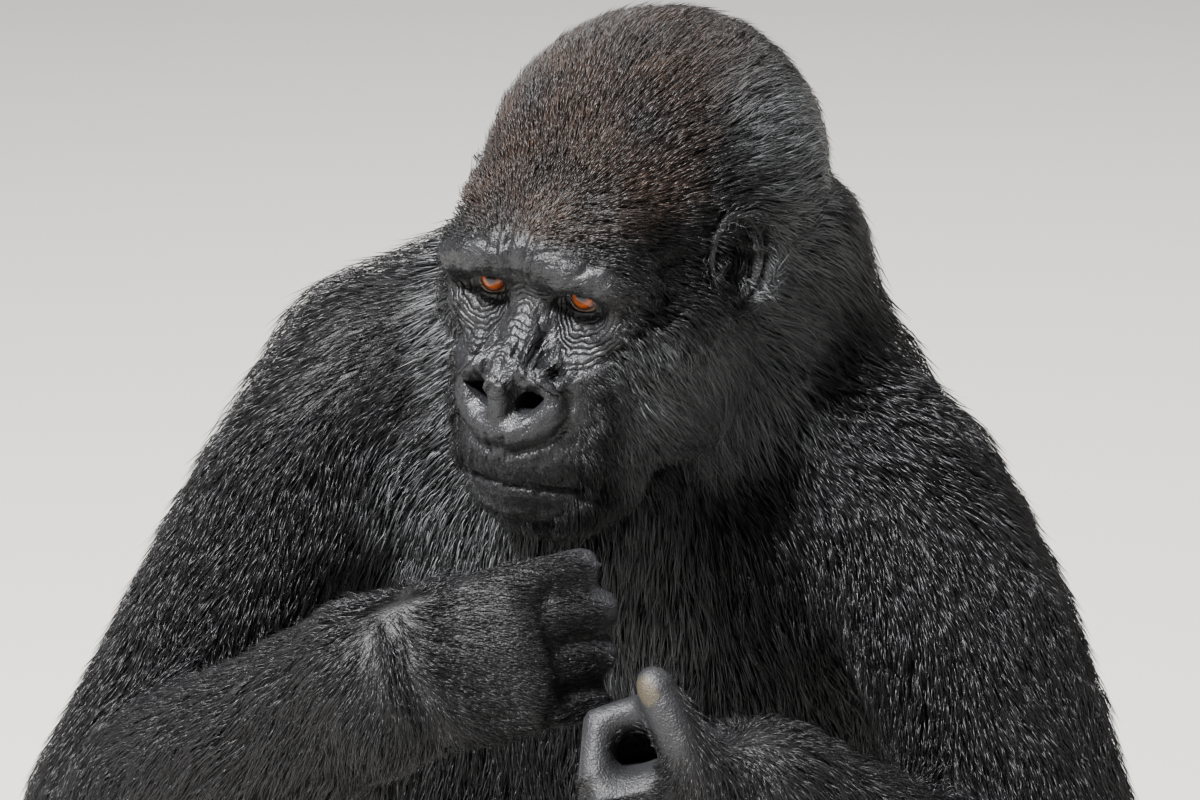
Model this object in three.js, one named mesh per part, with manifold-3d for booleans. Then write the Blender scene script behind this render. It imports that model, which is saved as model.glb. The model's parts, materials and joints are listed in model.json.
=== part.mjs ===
// A seated western lowland gorilla, life-size, as a still museum model.
// It sits on the floor with folded legs. The right fist is held below the chin, the left hand
// below it with the thumb up, and the head is turned to the animal's right.
// Units are millimetres, +Z is up, the animal faces -Y and its left side is +X.
// The solids hold the outline out to the tips of the coat.
import * as THREE from "three";
import { mergeVertices } from "three/addons/utils/BufferGeometryUtils.js";
import Module from "manifold-3d";

const wasm = await Module();
wasm.setup();
const V = (x, y, z) => new THREE.Vector3(x, y, z);

// ---------------------------------------------------------------- driving dimensions
const GAP = 0.5; // left between neighbouring pieces
const HEAD_SCALE = 1.05; // the head is drawn at a mean female's size and is a little larger

// Joint centres of the sitting pose.
const HIP = { right: V(-80, 118, 98), left: V(88, 104, 98) };
const KNEE = { right: V(-288, -126, 146), left: V(262, -150, 108) };
const ANKLE = { right: V(-122, -302, 58), left: V(108, -336, 58) };
const SHOULDER = { right: V(-153, 16, 560), left: V(158, -82, 507) };
const ELBOW = { right: V(-320, -122, 290), left: V(288, -236, 220) };
const WRIST = { right: V(-144, -279, 438), left: V(74, -290, 378) };
const HEAD_AT = V(0, -90, 640); // midway between the ear openings
const THUMB_SIDE = { right: V(-0.06, 0.3, 0.95), left: V(0, -0.85, 0.53) };

// Turns of the head and hands, in degrees: yaw to the animal's right, pitch down, tilt.
const HEAD_TURN = { yaw: -34, pitch: 7.3, roll: 1.5 };

// Half widths and half depths of the sections along each part, root to tip.
const GIRTH = {
  trunk: [[128, 112], [172, 146], [194, 170], [196, 160], [184, 140], [140, 104]],
  shoulders: [[66, 64], [78, 80], [92, 96], [88, 88], [70, 68]],
  neck: [[139, 106], [134, 106], [117, 102], [82, 80]],
  upperArm: {
    right: [[66, 66], [68, 68], [63, 62], [60, 58]],
    left: [[74, 70], [76, 74], [70, 68], [60, 60]],
  },
  forearm: [[56, 58], [64, 60], [59, 51], [50, 38]],
  thigh: [[104, 98], [100, 92], [84, 78], [66, 64]],
  shank: [[63, 62], [64, 63], [52, 50], [42, 42]],
};

const FINGER = { spacing: 26, lengths: [50, 38, 26] }; // first, middle and end bone
const FINGER_RADII = [12.6, 11.8, 12.6, 11.4, 10.4]; // in the palm, at the three joints and the tip
const FINGER_NAMES = ["index", "middle", "ring", "little"];
const FINGER_SIZE = [1, 1.06, 1.02, 0.9];
const PALM = { length: 88, girth: [[45, 30], [49, 26], [52, 22]] };
const THUMB_RADII = [24, 20, 15.5, 12.5]; // the ball of the thumb, its two joints and its tip
const FOOT = { length: 240, girth: [[37, 35], [42, 35], [50, 28], [49, 19]] };
const TOE = { radii: [12.5, 12, 11.5], spacing: 24, length: 42 };
const BIG_TOE_RADII = [19, 18, 17, 16];

// ---------------------------------------------------------------- solids
function solid(geometry) {
  const bare = geometry.clone();
  bare.deleteAttribute("normal");
  bare.deleteAttribute("uv");
  const merged = mergeVertices(bare, 1e-3);
  return new wasm.Manifold(
    new wasm.Mesh({
      numProp: 3,
      vertProperties: new Float32Array(merged.attributes.position.array),
      triVerts: new Uint32Array(merged.index.array),
    }),
  );
}

function geometryOf(manifold) {
  const mesh = manifold.getMesh();
  const geometry = new THREE.BufferGeometry();
  geometry.setAttribute("position", new THREE.BufferAttribute(mesh.vertProperties, 3));
  geometry.setIndex(new THREE.BufferAttribute(mesh.triVerts, 1));
  geometry.computeVertexNormals();
  return geometry;
}

const union = (...parts) => parts.reduce((a, b) => a.add(b));
const minus = (whole, ...cutters) => cutters.reduce((a, b) => a.subtract(b), whole);

// The largest body of a solid, without the loose chips that a cut can leave.
function mainBody(manifold) {
  return manifold.decompose().reduce((a, b) => (a.volume() > b.volume() ? a : b));
}

function placed(manifold, group) {
  group.updateMatrixWorld(true);
  return solid(geometryOf(manifold).applyMatrix4(group.matrixWorld));
}

const CAPS = [[60, 30], [30, 60]];

// An oval section carried along a smooth path through the stations, with rounded ends.
// wide gives the direction of the half width, and may turn to wideEnd at the last station.
// caps are the angles, in degrees, of the rings that round off the two ends.
function limb({ path, girth, wide, wideEnd = wide, sides, steps, round = 0.8, caps = CAPS, grow = 0 }) {
  const line = new THREE.CatmullRomCurve3(path, false, "centripetal");
  const sizes = new THREE.CatmullRomCurve3(
    girth.map(([w, d]) => V(w + grow, d + grow, 0)),
    false,
    "centripetal",
  );
  const rings = [];
  const ring = (centre, along, width, depth, t) => {
    const across = wide.clone().lerp(wideEnd, t);
    across.addScaledVector(along, -across.dot(along)).normalize();
    const front = along.clone().cross(across);
    const points = [];
    for (let i = 0; i < sides; i++) {
      const a = (2 * Math.PI * i) / sides;
      const onWidth = centre.clone().addScaledVector(across, width * Math.cos(a));
      points.push(onWidth.addScaledVector(front, depth * Math.sin(a)));
    }
    rings.push(points);
  };
  const [startCap, endCap] = caps.map((angles) => angles.map(THREE.MathUtils.degToRad));
  const first = line.getPoint(0);
  const last = line.getPoint(1);
  const startAlong = line.getTangent(0);
  const endAlong = line.getTangent(1);
  const startSize = sizes.getPoint(0);
  const endSize = sizes.getPoint(1);
  const startReach = (round * (startSize.x + startSize.y)) / 2;
  const endReach = (round * (endSize.x + endSize.y)) / 2;
  for (const a of startCap) {
    const at = first.clone().addScaledVector(startAlong, -startReach * Math.sin(a));
    ring(at, startAlong, startSize.x * Math.cos(a), startSize.y * Math.cos(a), 0);
  }
  for (let i = 0; i <= steps; i++) {
    const t = i / steps;
    const size = sizes.getPoint(t);
    ring(line.getPoint(t), line.getTangent(t), size.x, size.y, t);
  }
  for (const a of endCap) {
    const at = last.clone().addScaledVector(endAlong, endReach * Math.sin(a));
    ring(at, endAlong, endSize.x * Math.cos(a), endSize.y * Math.cos(a), 1);
  }
  const points = [first.clone().addScaledVector(startAlong, -startReach), ...rings.flat()];
  points.push(last.clone().addScaledVector(endAlong, endReach));
  const tip = points.length - 1;
  const index = [];
  for (let i = 0; i < sides; i++) {
    const j = (i + 1) % sides;
    index.push(0, 1 + j, 1 + i);
    for (let r = 0; r < rings.length - 1; r++) {
      const a = 1 + r * sides;
      const b = a + sides;
      index.push(a + i, a + j, b + j, a + i, b + j, b + i);
    }
    const top = 1 + (rings.length - 1) * sides;
    index.push(top + i, top + j, tip);
  }
  const geometry = new THREE.BufferGeometry().setFromPoints(points);
  geometry.setIndex(index);
  return solid(geometry);
}

// ---------------------------------------------------------------- the head, in its own frame
// x is forward, y is to the animal's left and z is up, from midway between the ear openings.
function softMin(a, b, k) {
  const h = Math.max(k - Math.abs(a - b), 0) / k;
  return Math.min(a, b) - (h * h * k) / 4;
}

// About how far p lies outside an ellipsoid.
function ellipsoid(p, [x, y, z], [a, b, c]) {
  const q = [p.x - x, p.y - y, p.z - z];
  const near = Math.hypot(q[0] / a, q[1] / b, q[2] / c);
  const slope = Math.hypot(q[0] / a ** 2, q[1] / b ** 2, q[2] / c ** 2);
  return slope < 1e-9 ? -Math.min(a, b, c) : (near * (near - 1)) / slope;
}

// How far p lies outside a rod with a round end at each of its two points.
function rod(p, from, to, r0, r1 = r0) {
  const a = V(...from);
  const d = V(...to).sub(a);
  const t = THREE.MathUtils.clamp(p.clone().sub(a).dot(d) / d.lengthSq(), 0, 1);
  return p.distanceTo(a.addScaledVector(d, t)) - (r0 + (r1 - r0) * t);
}

const HEAD = {
  cranium: { at: [-36, 0, 43], r: [115, 98, 98] },
  cheekFur: { at: [24, 44, -34], r: [58, 40, 68] },
  face: { at: [58, 0, 0], r: [44, 62, 60] },
  brow: { inner: [104, 0, 41], outer: [82, 60, 38], middle: [101, 34, 46], r: 13.5 },
  cheekBone: { from: [82, 50, 4], to: [58, 66, -10], r: 14 },
  noseBridge: { from: [92, 0, 24], to: [121, 0, -30], r: 14 },
  noseWing: { at: [120, 20, -37], r: [16, 18, 21] },
  muzzle: { at: [85, 0, -67], r: [54, 53, 45] },
  lip: { at: [108, 0, -67], r: [31, 38, 27] },
  chin: { at: [80, 0, -98], r: [48, 46, 29] },
  socket: { at: [104, 31, 17], r: [17, 20, 12] },
  eye: { at: [79, 31, 17], r: 13 },
  ear: { at: [8, 80, 22], r: [19, 12, 29] },
};

function headField(point) {
  const p = V(point.x, Math.abs(point.y), point.z);
  const part = (name) => ellipsoid(p, HEAD[name].at, HEAD[name].r);
  const { brow, cheekBone, noseBridge } = HEAD;
  let d = softMin(part("cranium"), part("face"), 26);
  d = softMin(d, part("cheekFur"), 22);
  d = softMin(d, softMin(part("muzzle"), part("chin"), 14), 20);
  d = softMin(d, rod(p, cheekBone.from, cheekBone.to, cheekBone.r), 16);
  const innerRidge = rod(p, brow.inner, brow.middle, brow.r);
  const outerRidge = rod(p, brow.middle, brow.outer, brow.r);
  d = softMin(d, softMin(innerRidge, outerRidge, 10), 26);
  d = -softMin(-d, part("socket"), 6);
  d = softMin(d, rod(p, noseBridge.from, noseBridge.to, noseBridge.r), 10);
  d = softMin(d, part("lip"), 12);
  return softMin(d, part("noseWing"), 8);
}

// A ball whose points are moved in or out to where the head's field is zero. The columns are
// closest together over the face.
function headSolid({ grow = 0, columns = 30, rows = 24, crowd = 0.5 } = {}) {
  const centre = V(0, 0, 30);
  const reach = 240;
  const ball = new THREE.SphereGeometry(1, columns, rows);
  const place = ball.attributes.position;
  for (let i = 0; i < place.count; i++) {
    const unit = V(place.getX(i), place.getY(i), place.getZ(i));
    const lift = Math.asin(THREE.MathUtils.clamp(unit.y, -1, 1));
    const turn = Math.atan2(unit.z, unit.x);
    const warped = turn - crowd * Math.sin(turn);
    const flat = Math.cos(lift);
    const way = V(flat * Math.cos(warped), -flat * Math.sin(warped), Math.sin(lift));
    let far = reach;
    while (headField(centre.clone().addScaledVector(way, far)) > grow) far -= 2;
    let near = far;
    far += 2;
    for (let n = 0; n < 12; n++) {
      const middle = (near + far) / 2;
      if (headField(centre.clone().addScaledVector(way, middle)) > grow) far = middle;
      else near = middle;
    }
    const at = centre.clone().addScaledVector(way, near);
    place.setXYZ(i, at.x, at.y, at.z);
  }
  return solid(ball);
}

function ball(at, radii, grow = 0, columns = 12, rows = 7) {
  const shape = new THREE.SphereGeometry(1, columns, rows);
  shape.scale(...radii.map((r) => r + grow));
  shape.translate(...at);
  return solid(shape);
}

// A small upright cup, open forwards and outwards, set on the side of the head.
function earSolid(side) {
  const { at, r } = HEAD.ear;
  const centre = [at[0], side * at[1], at[2]];
  const hollow = [at[0] + 7, side * (at[1] + 9), at[2] + 2];
  return ball(centre, r).subtract(ball(hollow, [r[0] * 0.72, r[1] * 0.8, r[2] * 0.72], 0, 9, 5));
}

const headGroup = new THREE.Group();
headGroup.position.copy(HEAD_AT);
headGroup.scale.setScalar(HEAD_SCALE);

// The head's axes in the model's frame: forward, left and up.
function headTurn({ yaw, pitch, roll }) {
  const [y, p, r] = [yaw, pitch, roll].map(THREE.MathUtils.degToRad);
  const forward = V(Math.sin(y) * Math.cos(p), -Math.cos(y) * Math.cos(p), -Math.sin(p));
  const level = V(Math.cos(y), Math.sin(y), 0);
  const raised = forward.clone().cross(level);
  const left = level.clone().multiplyScalar(Math.cos(r)).addScaledVector(raised, -Math.sin(r));
  const up = forward.clone().cross(left);
  return new THREE.Matrix4().makeBasis(forward, left, up);
}
headGroup.setRotationFromMatrix(headTurn(HEAD_TURN));

// ---------------------------------------------------------------- hands
// In a hand's frame x runs from wrist to knuckles, y is towards the thumb and z is the back of
// the right hand, or the palm of the left. back is 1 or -1 for those two.
function digit(path, radii, grow = 0, sides = 8, steps = 6) {
  const girth = radii.map((r) => [r, r * 0.96]);
  const wide = V(0, 1, 0.02);
  return limb({ path, girth, wide, sides, steps, round: 0.9, caps: [[], [50]], grow });
}

// A finger bent at its three joints, each angle in degrees towards the palm.
function fingerPath(number, bends, back) {
  let at = V(PALM.length - 4 * Math.abs(number - 1), (1.5 - number) * FINGER.spacing, 0);
  const points = [at.clone().add(V(-22, 0, 0)), at.clone()];
  let angle = 0;
  bends.forEach((bend, i) => {
    angle += THREE.MathUtils.degToRad(bend);
    const length = FINGER.lengths[i] * FINGER_SIZE[number];
    at = at.clone().add(V(length * Math.cos(angle), 0, -back * length * Math.sin(angle)));
    points.push(at);
  });
  return points;
}

function handSolids({ back, bends, thumb }) {
  const palmShape = (grow) =>
    limb({
      path: [V(4, 0, 0), V(45, 0, 0), V(PALM.length, 0, 0)],
      girth: PALM.girth,
      wide: V(0, 1, 0),
      sides: 12,
      steps: 3,
      round: 0.45,
      caps: [[45], [45]],
      grow,
    });
  const palmCutter = palmShape(GAP);
  const parts = { hand: palmShape(0) };
  const cutters = [palmCutter];
  FINGER_NAMES.forEach((name, i) => {
    const path = fingerPath(i, bends[i], back);
    parts[name + "_finger"] = digit(path, FINGER_RADII).subtract(palmCutter);
    cutters.push(digit(path, FINGER_RADII, GAP));
  });
  const thumbPath = thumb.map(([x, y, z]) => V(x, y, z * back));
  parts.thumb = minus(digit(thumbPath, THUMB_RADII), ...cutters);
  cutters.push(digit(thumbPath, THUMB_RADII, GAP));
  return { parts, cutters };
}

// A hand's group: its wrist, the way its knuckles lie and the way its thumb side faces.
function handGroup(wrist, knuckles, thumbSide) {
  const x = knuckles.clone().normalize();
  const y = thumbSide.clone().addScaledVector(x, -thumbSide.dot(x)).normalize();
  const group = new THREE.Group();
  group.position.copy(wrist);
  group.setRotationFromMatrix(new THREE.Matrix4().makeBasis(x, y, x.clone().cross(y)));
  return group;
}

const HANDS = {
  right: {
    group: handGroup(WRIST.right, V(97, -6, 25), THUMB_SIDE.right),
    made: handSolids({
      back: 1,
      bends: [[22, 108, 62], [26, 108, 62], [30, 108, 60], [34, 108, 60]],
      thumb: [[14, 24, -12], [34, 34, -28], [50, 38, -46], [60, 30, -66]],
    }),
  },
  left: {
    group: handGroup(WRIST.left, V(-97, -2, -26), THUMB_SIDE.left),
    made: handSolids({
      back: -1,
      bends: [[99, 88, 62], [114, 80, 55], [116, 84, 56], [118, 84, 56]],
      thumb: [[16, 22, 2], [27, 38, 2], [31, 54, -24], [38, 66, -58]],
    }),
  },
};

// ---------------------------------------------------------------- feet
// In a foot's frame x runs from heel to toes, y is towards the big toe and z = 0 is the floor.
function footSolids(inner) {
  const heel = V(-18, 0, 34);
  const footShape = (grow) =>
    limb({
      path: [heel, V(60, 0, 36), V(128, 0, 24), V(178, 0, 16)],
      girth: FOOT.girth,
      wide: V(0, 1, 0),
      sides: 10,
      steps: 5,
      round: 0.7,
      caps: [[60, 30], [45]],
      grow,
    });
  const toes = [0, 1, 2, 3].map((i) => {
    const y = inner * (1.5 - i) * TOE.spacing;
    const reach = FOOT.length - TOE.length - 6 * i;
    const path = [V(reach - 30, y, 16), V(reach, y, 19), V(reach + TOE.length, y * 1.05, 9)];
    return digit(path, TOE.radii, 0, 6, 2);
  });
  const bigToePath = [
    V(70, inner * 22, 24),
    V(104, inner * 46, 26),
    V(142, inner * 66, 18),
    V(164, inner * 70, 12),
  ];
  const footCutter = footShape(GAP);
  const parts = {
    foot: union(footShape(0), ...toes),
    big_toe: digit(bigToePath, BIG_TOE_RADII).subtract(footCutter),
  };
  return { parts, cutters: [footCutter, digit(bigToePath, BIG_TOE_RADII, GAP)] };
}

function footGroup(ankle, turn) {
  const group = new THREE.Group();
  group.position.set(ankle.x, ankle.y, 0);
  group.rotation.z = THREE.MathUtils.degToRad(turn);
  return group;
}

const FEET = {
  right: { group: footGroup(ANKLE.right, -96), made: footSolids(1) },
  left: { group: footGroup(ANKLE.left, -84), made: footSolids(-1) },
};

// ---------------------------------------------------------------- trunk, neck and limbs
const shoulderLine = SHOULDER.left.clone().sub(SHOULDER.right).normalize();

const trunkShape = (grow) => {
  const barrel = limb({
    path: [V(0, 122, 62), V(0, 108, 140), V(0, 74, 250), V(0, 34, 370), V(2, -6, 470), V(5, -30, 552)],
    girth: GIRTH.trunk,
    wide: V(0.99, -0.1, 0),
    wideEnd: shoulderLine,
    sides: 16,
    steps: 9,
    round: 0.55,
    grow,
  });
  const shoulders = limb({
    path: [
      SHOULDER.right.clone().add(V(10, 4, -12)),
      V(-72, 34, 572),
      V(18, 26, 580),
      V(95, -8, 552),
      SHOULDER.left.clone().add(V(-8, 8, -2)),
    ],
    girth: GIRTH.shoulders,
    wide: V(0, 1, 0),
    sides: 12,
    steps: 7,
    round: 0.6,
    caps: [[45], [45]],
    grow,
  });
  return barrel.add(shoulders);
};

const neckShape = (grow) =>
  limb({
    path: [V(18, 2, 545), V(39, -9, 598), V(45, -28, 650), V(40, -50, 690)],
    girth: GIRTH.neck,
    wide: shoulderLine,
    wideEnd: V(0.83, -0.55, 0),
    sides: 16,
    steps: 5,
    round: 0.4,
    caps: [[45], [45]],
    grow,
  });

const upperArmShape = (side, grow) =>
  limb({
    path: [
      SHOULDER[side],
      SHOULDER[side].clone().lerp(ELBOW[side], 0.33).add(V(side === "left" ? 6 : 2, -6, 4)),
      SHOULDER[side].clone().lerp(ELBOW[side], 0.7),
      ELBOW[side],
    ],
    girth: GIRTH.upperArm[side],
    wide: V(1, 0, 0),
    sides: 12,
    steps: 6,
    round: 0.9,
    caps: [[45], [45]],
    grow,
  });

const forearmShape = (side, grow) =>
  limb({
    path: [
      ELBOW[side],
      ELBOW[side].clone().lerp(WRIST[side], 0.3),
      ELBOW[side].clone().lerp(WRIST[side], 0.72),
      WRIST[side],
    ],
    girth: GIRTH.forearm,
    wide: V(0, 0.3, 1),
    wideEnd: THUMB_SIDE[side],
    sides: 12,
    steps: 6,
    round: 0.8,
    caps: [[45], [45]],
    grow,
  });

const legShape = (from, to, girth, bow, grow) =>
  limb({
    path: [from, from.clone().lerp(to, 0.35).add(bow), from.clone().lerp(to, 0.75), to],
    girth,
    wide: V(0, 0, 1),
    sides: 12,
    steps: 5,
    round: 0.8,
    caps: [[45], [45]],
    grow,
  });

const thighShape = (side, grow) => legShape(HIP[side], KNEE[side], GIRTH.thigh, V(0, 0, 6), grow);
const shankShape = (side, grow) => legShape(KNEE[side], ANKLE[side], GIRTH.shank, V(0, 8, 0), grow);

// ---------------------------------------------------------------- materials
const coat = new THREE.MeshStandardMaterial({ color: 0x1c1a1b, roughness: 0.6, metalness: 0 });
const crown = new THREE.MeshStandardMaterial({ color: 0x33251f, roughness: 0.65, metalness: 0 });
const skin = new THREE.MeshStandardMaterial({ color: 0x1f1f21, roughness: 0.45, metalness: 0 });
const eye = new THREE.MeshStandardMaterial({ color: 0x7a3a12, roughness: 0.08, metalness: 0 });

// ---------------------------------------------------------------- assembly
const gorilla = new THREE.Group();

function addPiece(parent, name, manifold, material) {
  const mesh = new THREE.Mesh(geometryOf(mainBody(manifold)), material);
  mesh.name = name;
  parent.add(mesh);
}

const eyeAt = (side) => [HEAD.eye.at[0], side * HEAD.eye.at[1], HEAD.eye.at[2]];
const eyeRadii = [HEAD.eye.r, HEAD.eye.r, HEAD.eye.r];
const SIDES = { left: 1, right: -1 };

// Head, with its ears and eyes.
gorilla.add(headGroup);
let headWhole = headSolid();
for (const [name, side] of Object.entries(SIDES)) {
  headWhole = headWhole.subtract(ball(eyeAt(side), eyeRadii, GAP));
  addPiece(headGroup, "eye_" + name, ball(eyeAt(side), eyeRadii), eye);
}
const headCutter = headSolid({ grow: GAP });
// The neck is cut back by a coarse head, grown enough to clear the finer one everywhere.
const COARSE_HEAD = { grow: GAP + 3, columns: 22, rows: 16, crowd: 0.3 };
const ears = Object.values(SIDES).map((side) => earSolid(side));
Object.keys(SIDES).forEach((name, i) => {
  addPiece(headGroup, "ear_" + name, ears[i].subtract(headCutter), skin);
});
addPiece(headGroup, "head", headWhole, crown);

const worldHead = placed(headSolid(COARSE_HEAD), headGroup);
const trunkCutter = trunkShape(GAP);
const belowFloor = solid(new THREE.BoxGeometry(2000, 2000, 200).translate(0, 0, -100));

addPiece(gorilla, "trunk", minus(trunkShape(0), placed(headCutter, headGroup), belowFloor), coat);
const worldEars = ears.map((ear) => placed(ear, headGroup));
addPiece(gorilla, "neck", minus(neckShape(0), worldHead, ...worldEars, trunkCutter), coat);

for (const side of Object.keys(SIDES)) {
  const hand = HANDS[side];
  const foot = FEET[side];
  gorilla.add(hand.group, foot.group);
  for (const [name, piece] of Object.entries(hand.made.parts)) {
    addPiece(hand.group, name + "_" + side, piece, skin);
  }
  for (const [name, piece] of Object.entries(foot.made.parts)) {
    addPiece(foot.group, name + "_" + side, piece.subtract(belowFloor), skin);
  }
  const handCutters = hand.made.cutters.map((cutter) => placed(cutter, hand.group));
  const footCutters = foot.made.cutters.map((cutter) => placed(cutter, foot.group));
  const upperArm = minus(upperArmShape(side, 0), trunkCutter, worldHead, neckShape(GAP));
  addPiece(gorilla, "upper_arm_" + side, upperArm, coat);
  const forearm = minus(forearmShape(side, 0), upperArmShape(side, GAP), ...handCutters);
  addPiece(gorilla, "forearm_" + side, forearm, coat);
  addPiece(gorilla, "thigh_" + side, minus(thighShape(side, 0), trunkCutter, belowFloor), coat);
  const shank = minus(shankShape(side, 0), thighShape(side, GAP), ...footCutters, belowFloor);
  addPiece(gorilla, "shank_" + side, shank, coat);
}

// The origin is below the middle of the whole animal, on the floor.
gorilla.updateMatrixWorld(true);
const box = new THREE.Box3().setFromObject(gorilla, true);
gorilla.position.set(-(box.min.x + box.max.x) / 2, -(box.min.y + box.max.y) / 2, -box.min.z);

export default gorilla;
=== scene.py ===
# %% [markdown]
# # A western lowland gorilla, sitting
#
# This is a life-size museum model: a female gorilla that sits with folded legs, the right fist
# held below the chin. The CAD part already gives the outline, out to the tips of the coat. Here
# the looks are built round it: one skin that lies inside the solids by the depth of the coat,
# a folded face with lids, two eyes, and a coat of about a quarter of a million solid blades.
#
# Every shape is an array of points in millimetres. It becomes metres on its way into a mesh.

import json
import math

import bpy
import numpy as np
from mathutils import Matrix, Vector

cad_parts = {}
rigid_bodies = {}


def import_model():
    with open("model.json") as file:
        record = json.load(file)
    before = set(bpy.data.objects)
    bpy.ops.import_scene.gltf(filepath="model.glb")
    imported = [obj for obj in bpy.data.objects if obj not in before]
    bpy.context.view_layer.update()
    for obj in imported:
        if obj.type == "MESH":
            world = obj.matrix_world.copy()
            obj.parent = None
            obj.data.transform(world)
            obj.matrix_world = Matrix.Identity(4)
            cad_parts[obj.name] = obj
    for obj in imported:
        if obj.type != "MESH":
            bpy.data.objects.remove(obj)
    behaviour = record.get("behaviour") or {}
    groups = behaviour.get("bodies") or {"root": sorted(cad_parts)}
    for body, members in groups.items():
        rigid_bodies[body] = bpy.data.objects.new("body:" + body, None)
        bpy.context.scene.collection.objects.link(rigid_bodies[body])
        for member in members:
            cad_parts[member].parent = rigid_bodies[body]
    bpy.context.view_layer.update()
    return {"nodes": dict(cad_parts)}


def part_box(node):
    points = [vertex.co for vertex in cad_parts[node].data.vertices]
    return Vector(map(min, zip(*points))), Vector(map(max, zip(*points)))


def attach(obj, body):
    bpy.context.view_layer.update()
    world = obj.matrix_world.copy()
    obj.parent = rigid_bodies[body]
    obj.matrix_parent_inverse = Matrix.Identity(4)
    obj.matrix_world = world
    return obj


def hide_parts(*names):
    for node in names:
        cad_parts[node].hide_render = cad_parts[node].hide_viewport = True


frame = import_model()
MM = 0.001
SIDES = ("left", "right")
OUTWARD = {"left": 1, "right": -1}  # the animal's left side is towards +X

# %% [markdown]
# ## From arrays to meshes and back
#
# A mesh is a list of points and a list of faces that name them by number. Blender takes both as
# flat arrays, so a coat of a million triangles enters it in one call. The way back is used for
# the CAD solids, which arrive as loose triangles: corners that coincide are made one.

# %% Arrays into a mesh
def make_object(name, points, *face_groups):
    """A smooth-shaded mesh object at the origin, from points in mm and arrays of faces."""
    mesh = bpy.data.meshes.new(name)
    mesh.vertices.add(len(points))
    mesh.vertices.foreach_set("co", (points * MM).astype(np.float32).ravel())
    corners = np.concatenate([faces.ravel() for faces in face_groups]).astype(np.int32)
    sizes = np.concatenate([np.full(len(faces), faces.shape[1]) for faces in face_groups])
    mesh.loops.add(len(corners))
    mesh.loops.foreach_set("vertex_index", corners)
    mesh.polygons.add(len(sizes))
    mesh.polygons.foreach_set("loop_start", (np.cumsum(sizes) - sizes).astype(np.int32))
    mesh.update(calc_edges=True)
    mesh.validate()
    mesh.shade_smooth()
    made = bpy.data.objects.new(name, mesh)
    bpy.context.collection.objects.link(made)
    return made


def set_attribute(thing, name, values):
    """Stores one number for each point of a mesh, for its material to read."""
    layer = thing.data.attributes.new(name, "FLOAT", "POINT")
    layer.data.foreach_set("value", values.astype(np.float32))


# %% A mesh back into arrays
def read_mesh(mesh):
    """A mesh's points in mm and its triangles, as two arrays."""
    points = np.empty(len(mesh.vertices) * 3, np.float32)
    mesh.vertices.foreach_get("co", points)
    mesh.calc_loop_triangles()
    triangles = np.empty(len(mesh.loop_triangles) * 3, np.int32)
    mesh.loop_triangles.foreach_get("vertices", triangles)
    return points.reshape(-1, 3).astype(float) / MM, triangles.reshape(-1, 3)


def read_solid(node):
    """A CAD solid's corners and triangles, with coinciding corners made one."""
    points, triangles = read_mesh(frame["nodes"][node].data)
    corners, which = np.unique(points.round(3), axis=0, return_inverse=True)
    triangles = which.reshape(-1)[triangles]
    sound = (triangles != np.roll(triangles, 1, axis=1)).all(1)
    return corners, triangles[sound]


def finished(thing):
    """The arrays of an object with its modifiers worked out. The object is then removed."""
    graph = bpy.context.evaluated_depsgraph_get()
    result = read_mesh(thing.evaluated_get(graph).to_mesh())
    bpy.data.objects.remove(thing)
    return result


# %% Normals and smoothing
def unit(v):
    """v made one long."""
    return v / np.maximum(np.linalg.norm(v, axis=-1, keepdims=True), 1e-9)


def gather(where, values, count):
    """The sum of the rows of values that share a number in where."""
    return np.stack([np.bincount(where, values[:, k], count) for k in range(3)], 1)


def point_normals(points, triangles):
    """Each point's outward normal: the sum of its triangles' cross products."""
    a, b, c = (points[triangles[:, k]] for k in range(3))
    cross = np.cross(b - a, c - a)
    return unit(sum(gather(triangles[:, k], cross, len(points)) for k in range(3)))


def smoothed(points, triangles, rounds):
    """Each point moves half way to the mean of its neighbours, once a round."""
    edges = np.concatenate([triangles[:, [k, (k + 1) % 3]] for k in range(3)])
    a, b = np.unique(np.sort(edges, 1), axis=0).T
    degree = np.bincount(a, minlength=len(points)) + np.bincount(b, minlength=len(points))
    for _ in range(rounds):
        total = gather(a, points[b], len(points)) + gather(b, points[a], len(points))
        points = (points + total / np.maximum(degree, 1)[:, None]) / 2
    return points


# %% [markdown]
# ## Where the bones are
#
# The lie, length and depth of a coat change from limb to limb, so each place on the skin has to
# know which limbs it belongs to. The joints are found where two CAD solids meet, and each bone
# runs between two joints. A point's share in a bone falls off with its distance from it, which
# blends the coat smoothly from trunk to arm instead of changing it at a line.

# %% The joints
solids = {name: read_solid(name) for name in frame["nodes"]}


def joint(a, b, reach=7.0):
    """The mean of the corners of two solids that lie within reach of the other solid."""
    p, q = solids[a][0], solids[b][0]
    gap = np.linalg.norm(p[:, None] - q[None], axis=-1)
    return np.concatenate([p[gap.min(1) < reach], q[gap.min(0) < reach]]).mean(0)


def middle(node):
    """The centre of a solid's box, in mm."""
    return np.array(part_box(node)).mean(0) / MM


shoulder = {side: joint("trunk", f"upper_arm_{side}") for side in SIDES}
elbow = {side: joint(f"upper_arm_{side}", f"forearm_{side}") for side in SIDES}
wrist = {side: joint(f"forearm_{side}", f"hand_{side}") for side in SIDES}
hip = {side: joint("trunk", f"thigh_{side}") for side in SIDES}
knee = {side: joint(f"thigh_{side}", f"shank_{side}") for side in SIDES}
ankle = {side: joint(f"shank_{side}", f"foot_{side}") for side in SIDES}
knuckles = {side: joint(f"hand_{side}", f"middle_finger_{side}") for side in SIDES}
for name, places in dict(shoulder=shoulder, elbow=elbow, wrist=wrist, knee=knee, ankle=ankle).items():
    print(name, {side: places[side].round().tolist() for side in SIDES})

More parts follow.
